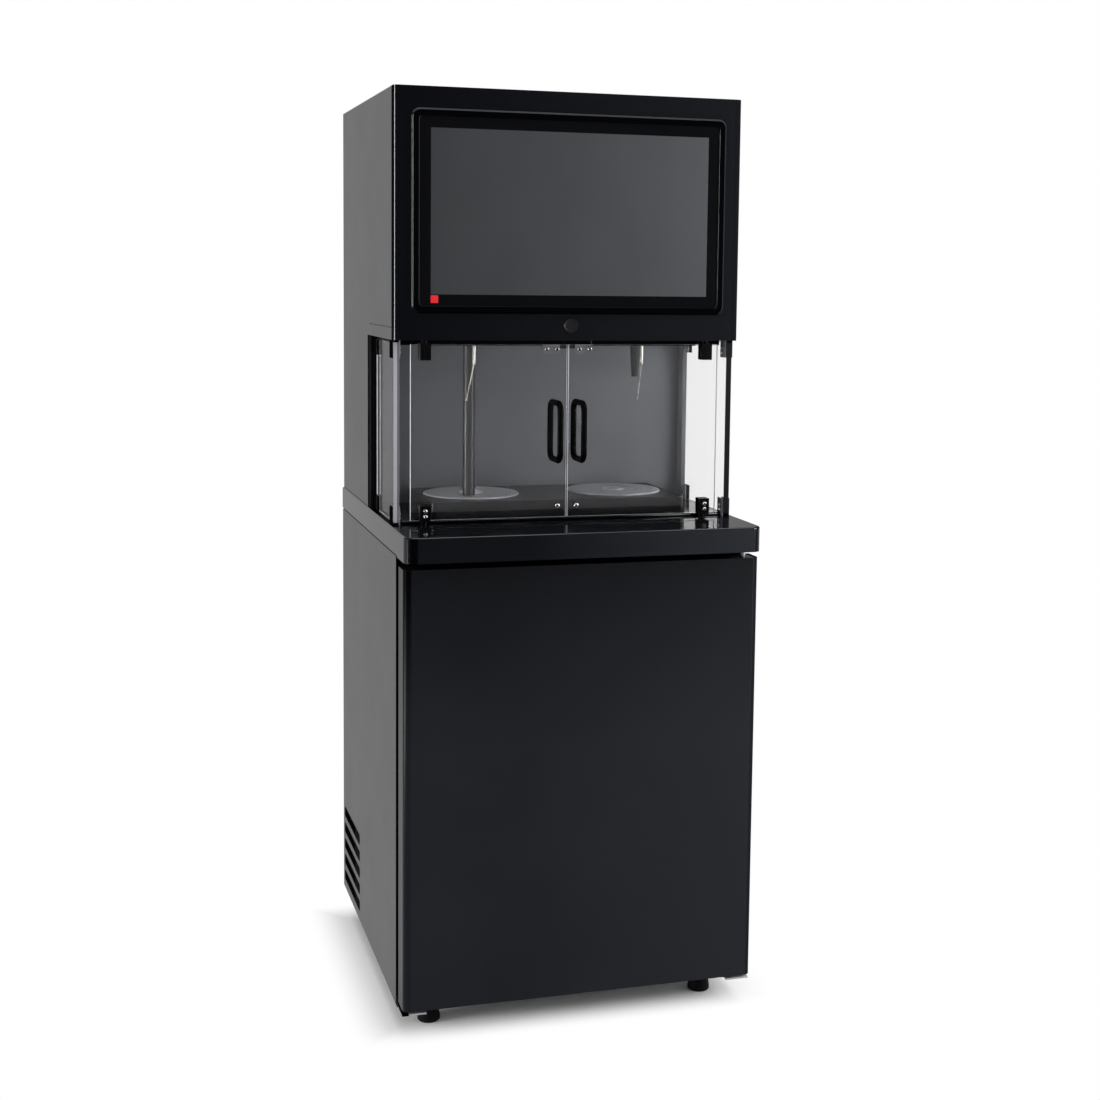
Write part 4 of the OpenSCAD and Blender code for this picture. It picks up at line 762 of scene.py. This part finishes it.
def pivot_screws(side):
    """Two screws on the front of a clear door's lower pivot clip."""
    sunk, cap, clip_height = 1.0, 1.5, 27.5
    low, high = box_mm(f"pivot_clips_{side}")
    foot = box_mm(f"leaf_{side}")[0].z - cap
    for count in (1, 2):
        spot = ((low.x + high.x) / 2, low.y + sunk, foot + clip_height * count / 3)
        screw_head(f"pivot_screw_{side}_{count}", spot, TO_FRONT, PIVOT_SCREW, f"{side}_door")


def strike_screws(side, edge):
    """Screws of a strike plate and the stud of the lower corner, in front of a clear door."""
    screws_x, below_top, stud_x, stud_rise = (19.5, 37.5), 8.0, 16.5, 3.5
    low, high = box_mm(f"strikes_{side}")
    face = box_mm(f"leaf_{side}")[0].y
    for count, x in enumerate(screws_x):
        spot = (x * edge, face, high.z - below_top)
        screw_head(f"strike_screw_{side}_{count}", spot, TO_FRONT, STRIKE_SCREW, f"{side}_door")
    spot = (stud_x * edge, face, low.z + stud_rise)
    screw_head(f"stud_{side}", spot, TO_FRONT, STUD, f"{side}_door")


def top_seals(side, edge):
    """Rubber lips over a clear door: beside the catch and, clear of the swing, at the pivot."""
    swing, catch_gap, clip_gap, overlap, panel_gap = 24.5, 2.0, 6.0, 11.0, 3.0
    head = box_mm("head_front")[0].z
    near = box_mm("catch_block")[0].y
    start = box_mm("catch_block")[1].x + catch_gap
    change = box_mm("pivot_clips_right")[0].x - clip_gap
    stop = box_mm("side_panel_right")[0].x - panel_gap
    runs = (("catch", near, (start, change)), ("pivot", near + swing, (change - overlap, stop)))
    lip = [(0.0, 0.0), (5.0, 0.0), (5.0, -2.0), (2.8, -3.0), (2.4, -7.0), (1.8, -9.0), (1.0, -9.4)]
    lip += [(0.5, -8.8), (0.6, -4.0), (0.0, -3.0)]
    for place, back, reach in runs:
        mesh = bmesh.new()
        ends = [[mesh.verts.new((x * edge, back + y, head + z)) for y, z in lip] for x in reach]
        bridge(mesh, *ends)
        for end in ends:
            mesh.faces.new(end)
        add_piece(f"top_seal_{side}_{place}", mesh, "seal_rubber")


def rounded(width, height, radius, steps=4):
    """Points of a rounded rectangle about its middle."""
    points = []
    for quarter, (x, y) in enumerate(((1, 1), (-1, 1), (-1, -1), (1, -1))):
        for step in range(steps + 1):
            angle = math.pi / 2 * (quarter + step / steps)
            across = x * (width / 2 - radius) + radius * math.cos(angle)
            points.append((across, y * (height / 2 - radius) + radius * math.sin(angle)))
    return points


def louvre_shade_trims(side, edge):
    """Thin black surrounds that line the louvres of one side; ahead of each slot the surround is a black
    sheet of painted shade that makes the slot's dark reach further towards the front.
    """
    count, pitch, rise, back = 5, 32.0, 28.0, 20.0
    length, height, corner, play = 130.0, 15.0, 5.0, 0.1
    wall, ahead, above, trim_corner = 0.5, 54.0, 2.0, 4.0
    proud, sunk = 0.4, 3.0
    low, high = box_mm("cabinet_shell")
    face = low.x if edge < 0 else high.x
    # The outer loop reaches ahead of the slot: a black sheet of painted shade, as of a longer opening.
    outer = rounded(length + ahead, height + 2 * above, trim_corner)
    outer = [(y - ahead / 2 + above, z) for y, z in outer]
    slot = rounded(length - play, height - play, corner)
    lined = rounded(length - 2 * wall, height - 2 * wall, corner - wall)
    profile = [(outer, 0.0), (outer, proud), (lined, proud), (lined, -sunk), (slot, -sunk), (slot, 0.0)]
    for index in range(count):
        middle = Vector((face, high.y - back - length / 2, low.z + rise + index * pitch))
        mesh = bmesh.new()
        loops = []
        for points, out in profile:
            loops.append([mesh.verts.new(middle + Vector((edge * out, y, z))) for y, z in points])
        for lower, upper in zip(loops, loops[1:] + loops[:1]):
            bridge(mesh, lower, upper)
        add_piece(f"louvre_trim_{side}_{index}", mesh, "seal_rubber")


for side, edge in SIDES:
    panel_screws(side, edge)
    pivot_screws(side)
    strike_screws(side, edge)
    top_seals(side, edge)
    louvre_shade_trims(side, edge)

# Studio: white for the camera, and levels of light for what the object mirrors and receives
WHITE = (1, 1, 1, 1)
AMBIENT = 0.42
BACKDROP = 0.57
DARK = 0.05


def make_floor():
    """Pale floor: it takes the contact shadow near the object and turns to plain white away from it."""
    bpy.ops.mesh.primitive_plane_add(size=60.0)
    floor = bpy.context.object
    floor.name = "floor"
    finish = Finish("floor_paper", (0.95, 0.95, 0.945), 0.9, Specular_IOR_Level=0.0)
    finish.tint(scale=2.0, amount=0.004)
    path = finish.node("ShaderNodeLightPath").outputs
    mirrored = finish.math("SUBTRACT", path["Is Glossy Ray"], path["Is Transmission Ray"])
    mirrored = finish.math("MAXIMUM", mirrored, 0.0)
    seen = finish.math("ADD", path["Is Camera Ray"], path["Is Transmission Ray"])
    seen = finish.math("MINIMUM", finish.math("ADD", seen, mirrored), 1.0)
    spot = finish.axes(finish.place)
    beside = finish.math("SUBTRACT", finish.math("ABSOLUTE", spot["X"]), cad_box[1].x)
    before = finish.math("SUBTRACT", finish.math("ABSOLUTE", spot["Y"]), cad_box[1].y)
    shine = finish.ease(spot["Y"], DARK, BACKDROP, start=-0.5, stop=0.0)
    aside = finish.ease(beside, 0.0, 1.0, start=-0.02, stop=0.08)
    ahead = finish.ease(before, 0.0, 1.0, start=-0.11, stop=0.0)
    white = finish.node("ShaderNodeEmission", Color=WHITE)
    finish.feed(white.inputs["Strength"], finish.between(mirrored, 1.0, shine))
    mixed = finish.node("ShaderNodeMixShader")
    finish.feed(mixed.inputs[0], finish.math("MULTIPLY", seen, finish.math("MAXIMUM", aside, ahead)))
    finish.feed(mixed.inputs[1], finish.shader.outputs[0])
    finish.feed(mixed.inputs[2], white.outputs[0])
    finish.feed(finish.tree.nodes["Material Output"].inputs["Surface"], mixed.outputs[0])
    wear(floor, finish)


def make_world():
    """A white studio for the camera and the clear sheets, a pale backdrop in a dim room for the gloss."""
    world = bpy.data.worlds.new("studio")
    bpy.context.scene.world = world
    world.use_nodes = True
    graph = Graph(world.node_tree)
    aside, ahead, _ = graph.axes(graph.node("ShaderNodeTexCoord").outputs["Generated"])
    path = graph.node("ShaderNodeLightPath").outputs
    gloss = graph.ease(ahead, DARK, BACKDROP, start=0.55, stop=0.90)
    gloss = graph.between(graph.remap(aside, 0.0, 1.0, start=0.30, stop=0.45), gloss, DARK)
    right = graph.ease(aside, 0.15, 1.0, start=-0.06, stop=0.02)
    through = graph.between(graph.ease(ahead, 0.0, 1.0, start=0.0, stop=0.3), DARK, right)
    level = graph.between(path["Is Transmission Ray"], gloss, through)
    level = graph.between(graph.math("MINIMUM", path["Diffuse Depth"], 1.0), level, AMBIENT)
    level = graph.between(path["Is Camera Ray"], level, 1.0)
    back = world.node_tree.nodes["Background"]
    back.inputs["Color"].default_value = WHITE
    graph.feed(back.inputs["Strength"], level)


def softbox(name, spot, aim, width, height, power):
    """A lamp with a broad face, at spot and turned to aim, in metres and watts."""
    data = bpy.data.lights.new(name, "AREA")
    data.shape = "RECTANGLE"
    data.size = width
    data.size_y = height
    data.energy = power
    lamp = bpy.data.objects.new(name, data)
    bpy.context.scene.collection.objects.link(lamp)
    lamp.location = spot
    lamp.rotation_euler = (Vector(aim) - Vector(spot)).to_track_quat("-Z", "Y").to_euler()


def make_camera():
    """Camera of the photograph: focal length and centre in its pixels, place in millimetres."""
    size, focal, centre = 1100.0, 1711.9, (600.0, 453.3)
    spot = Vector((-783.7, -2971.9, 1250.0))
    yaw, pitch, roll = (math.radians(angle) for angle in (-16.88, 5.87, 0.72))
    upright = Matrix(((1, 0, 0), (0, 0, -1), (0, 1, 0)))
    turn = Matrix.Rotation(roll, 3, "Z") @ Matrix.Rotation(pitch, 3, "X") @ upright
    turn = turn @ Matrix.Rotation(yaw, 3, "Z").transposed()
    right, down, ahead = turn
    data = bpy.data.cameras.new("camera")
    data.sensor_width = 36.0
    data.sensor_fit = "HORIZONTAL"
    data.lens = focal / size * data.sensor_width
    data.shift_x = (size / 2 - centre[0]) / size
    data.shift_y = (centre[1] - size / 2) / size
    camera = bpy.data.objects.new("camera", data)
    bpy.context.scene.collection.objects.link(camera)
    facing = Matrix((right, -down, -ahead)).transposed().to_4x4()
    camera.matrix_world = Matrix.Translation(spot * MM) @ facing
    bpy.context.scene.camera = camera


make_floor()
make_world()
softbox("top_light", spot=(0.3, -0.3, 3.6), aim=(0.0, 0.0, 0.8), width=3.0, height=3.0, power=75.0)
softbox("right_light", spot=(1.7, -1.5, 1.4), aim=(0.1, 0.0, 1.1), width=0.8, height=1.6, power=38.0)
softbox("left_strip", spot=(-3.0, -0.7, 1.1), aim=(-0.3, -0.2, 1.0), width=0.35, height=2.4, power=50.0)
make_camera()
bpy.context.scene.view_settings.view_transform = "Standard"
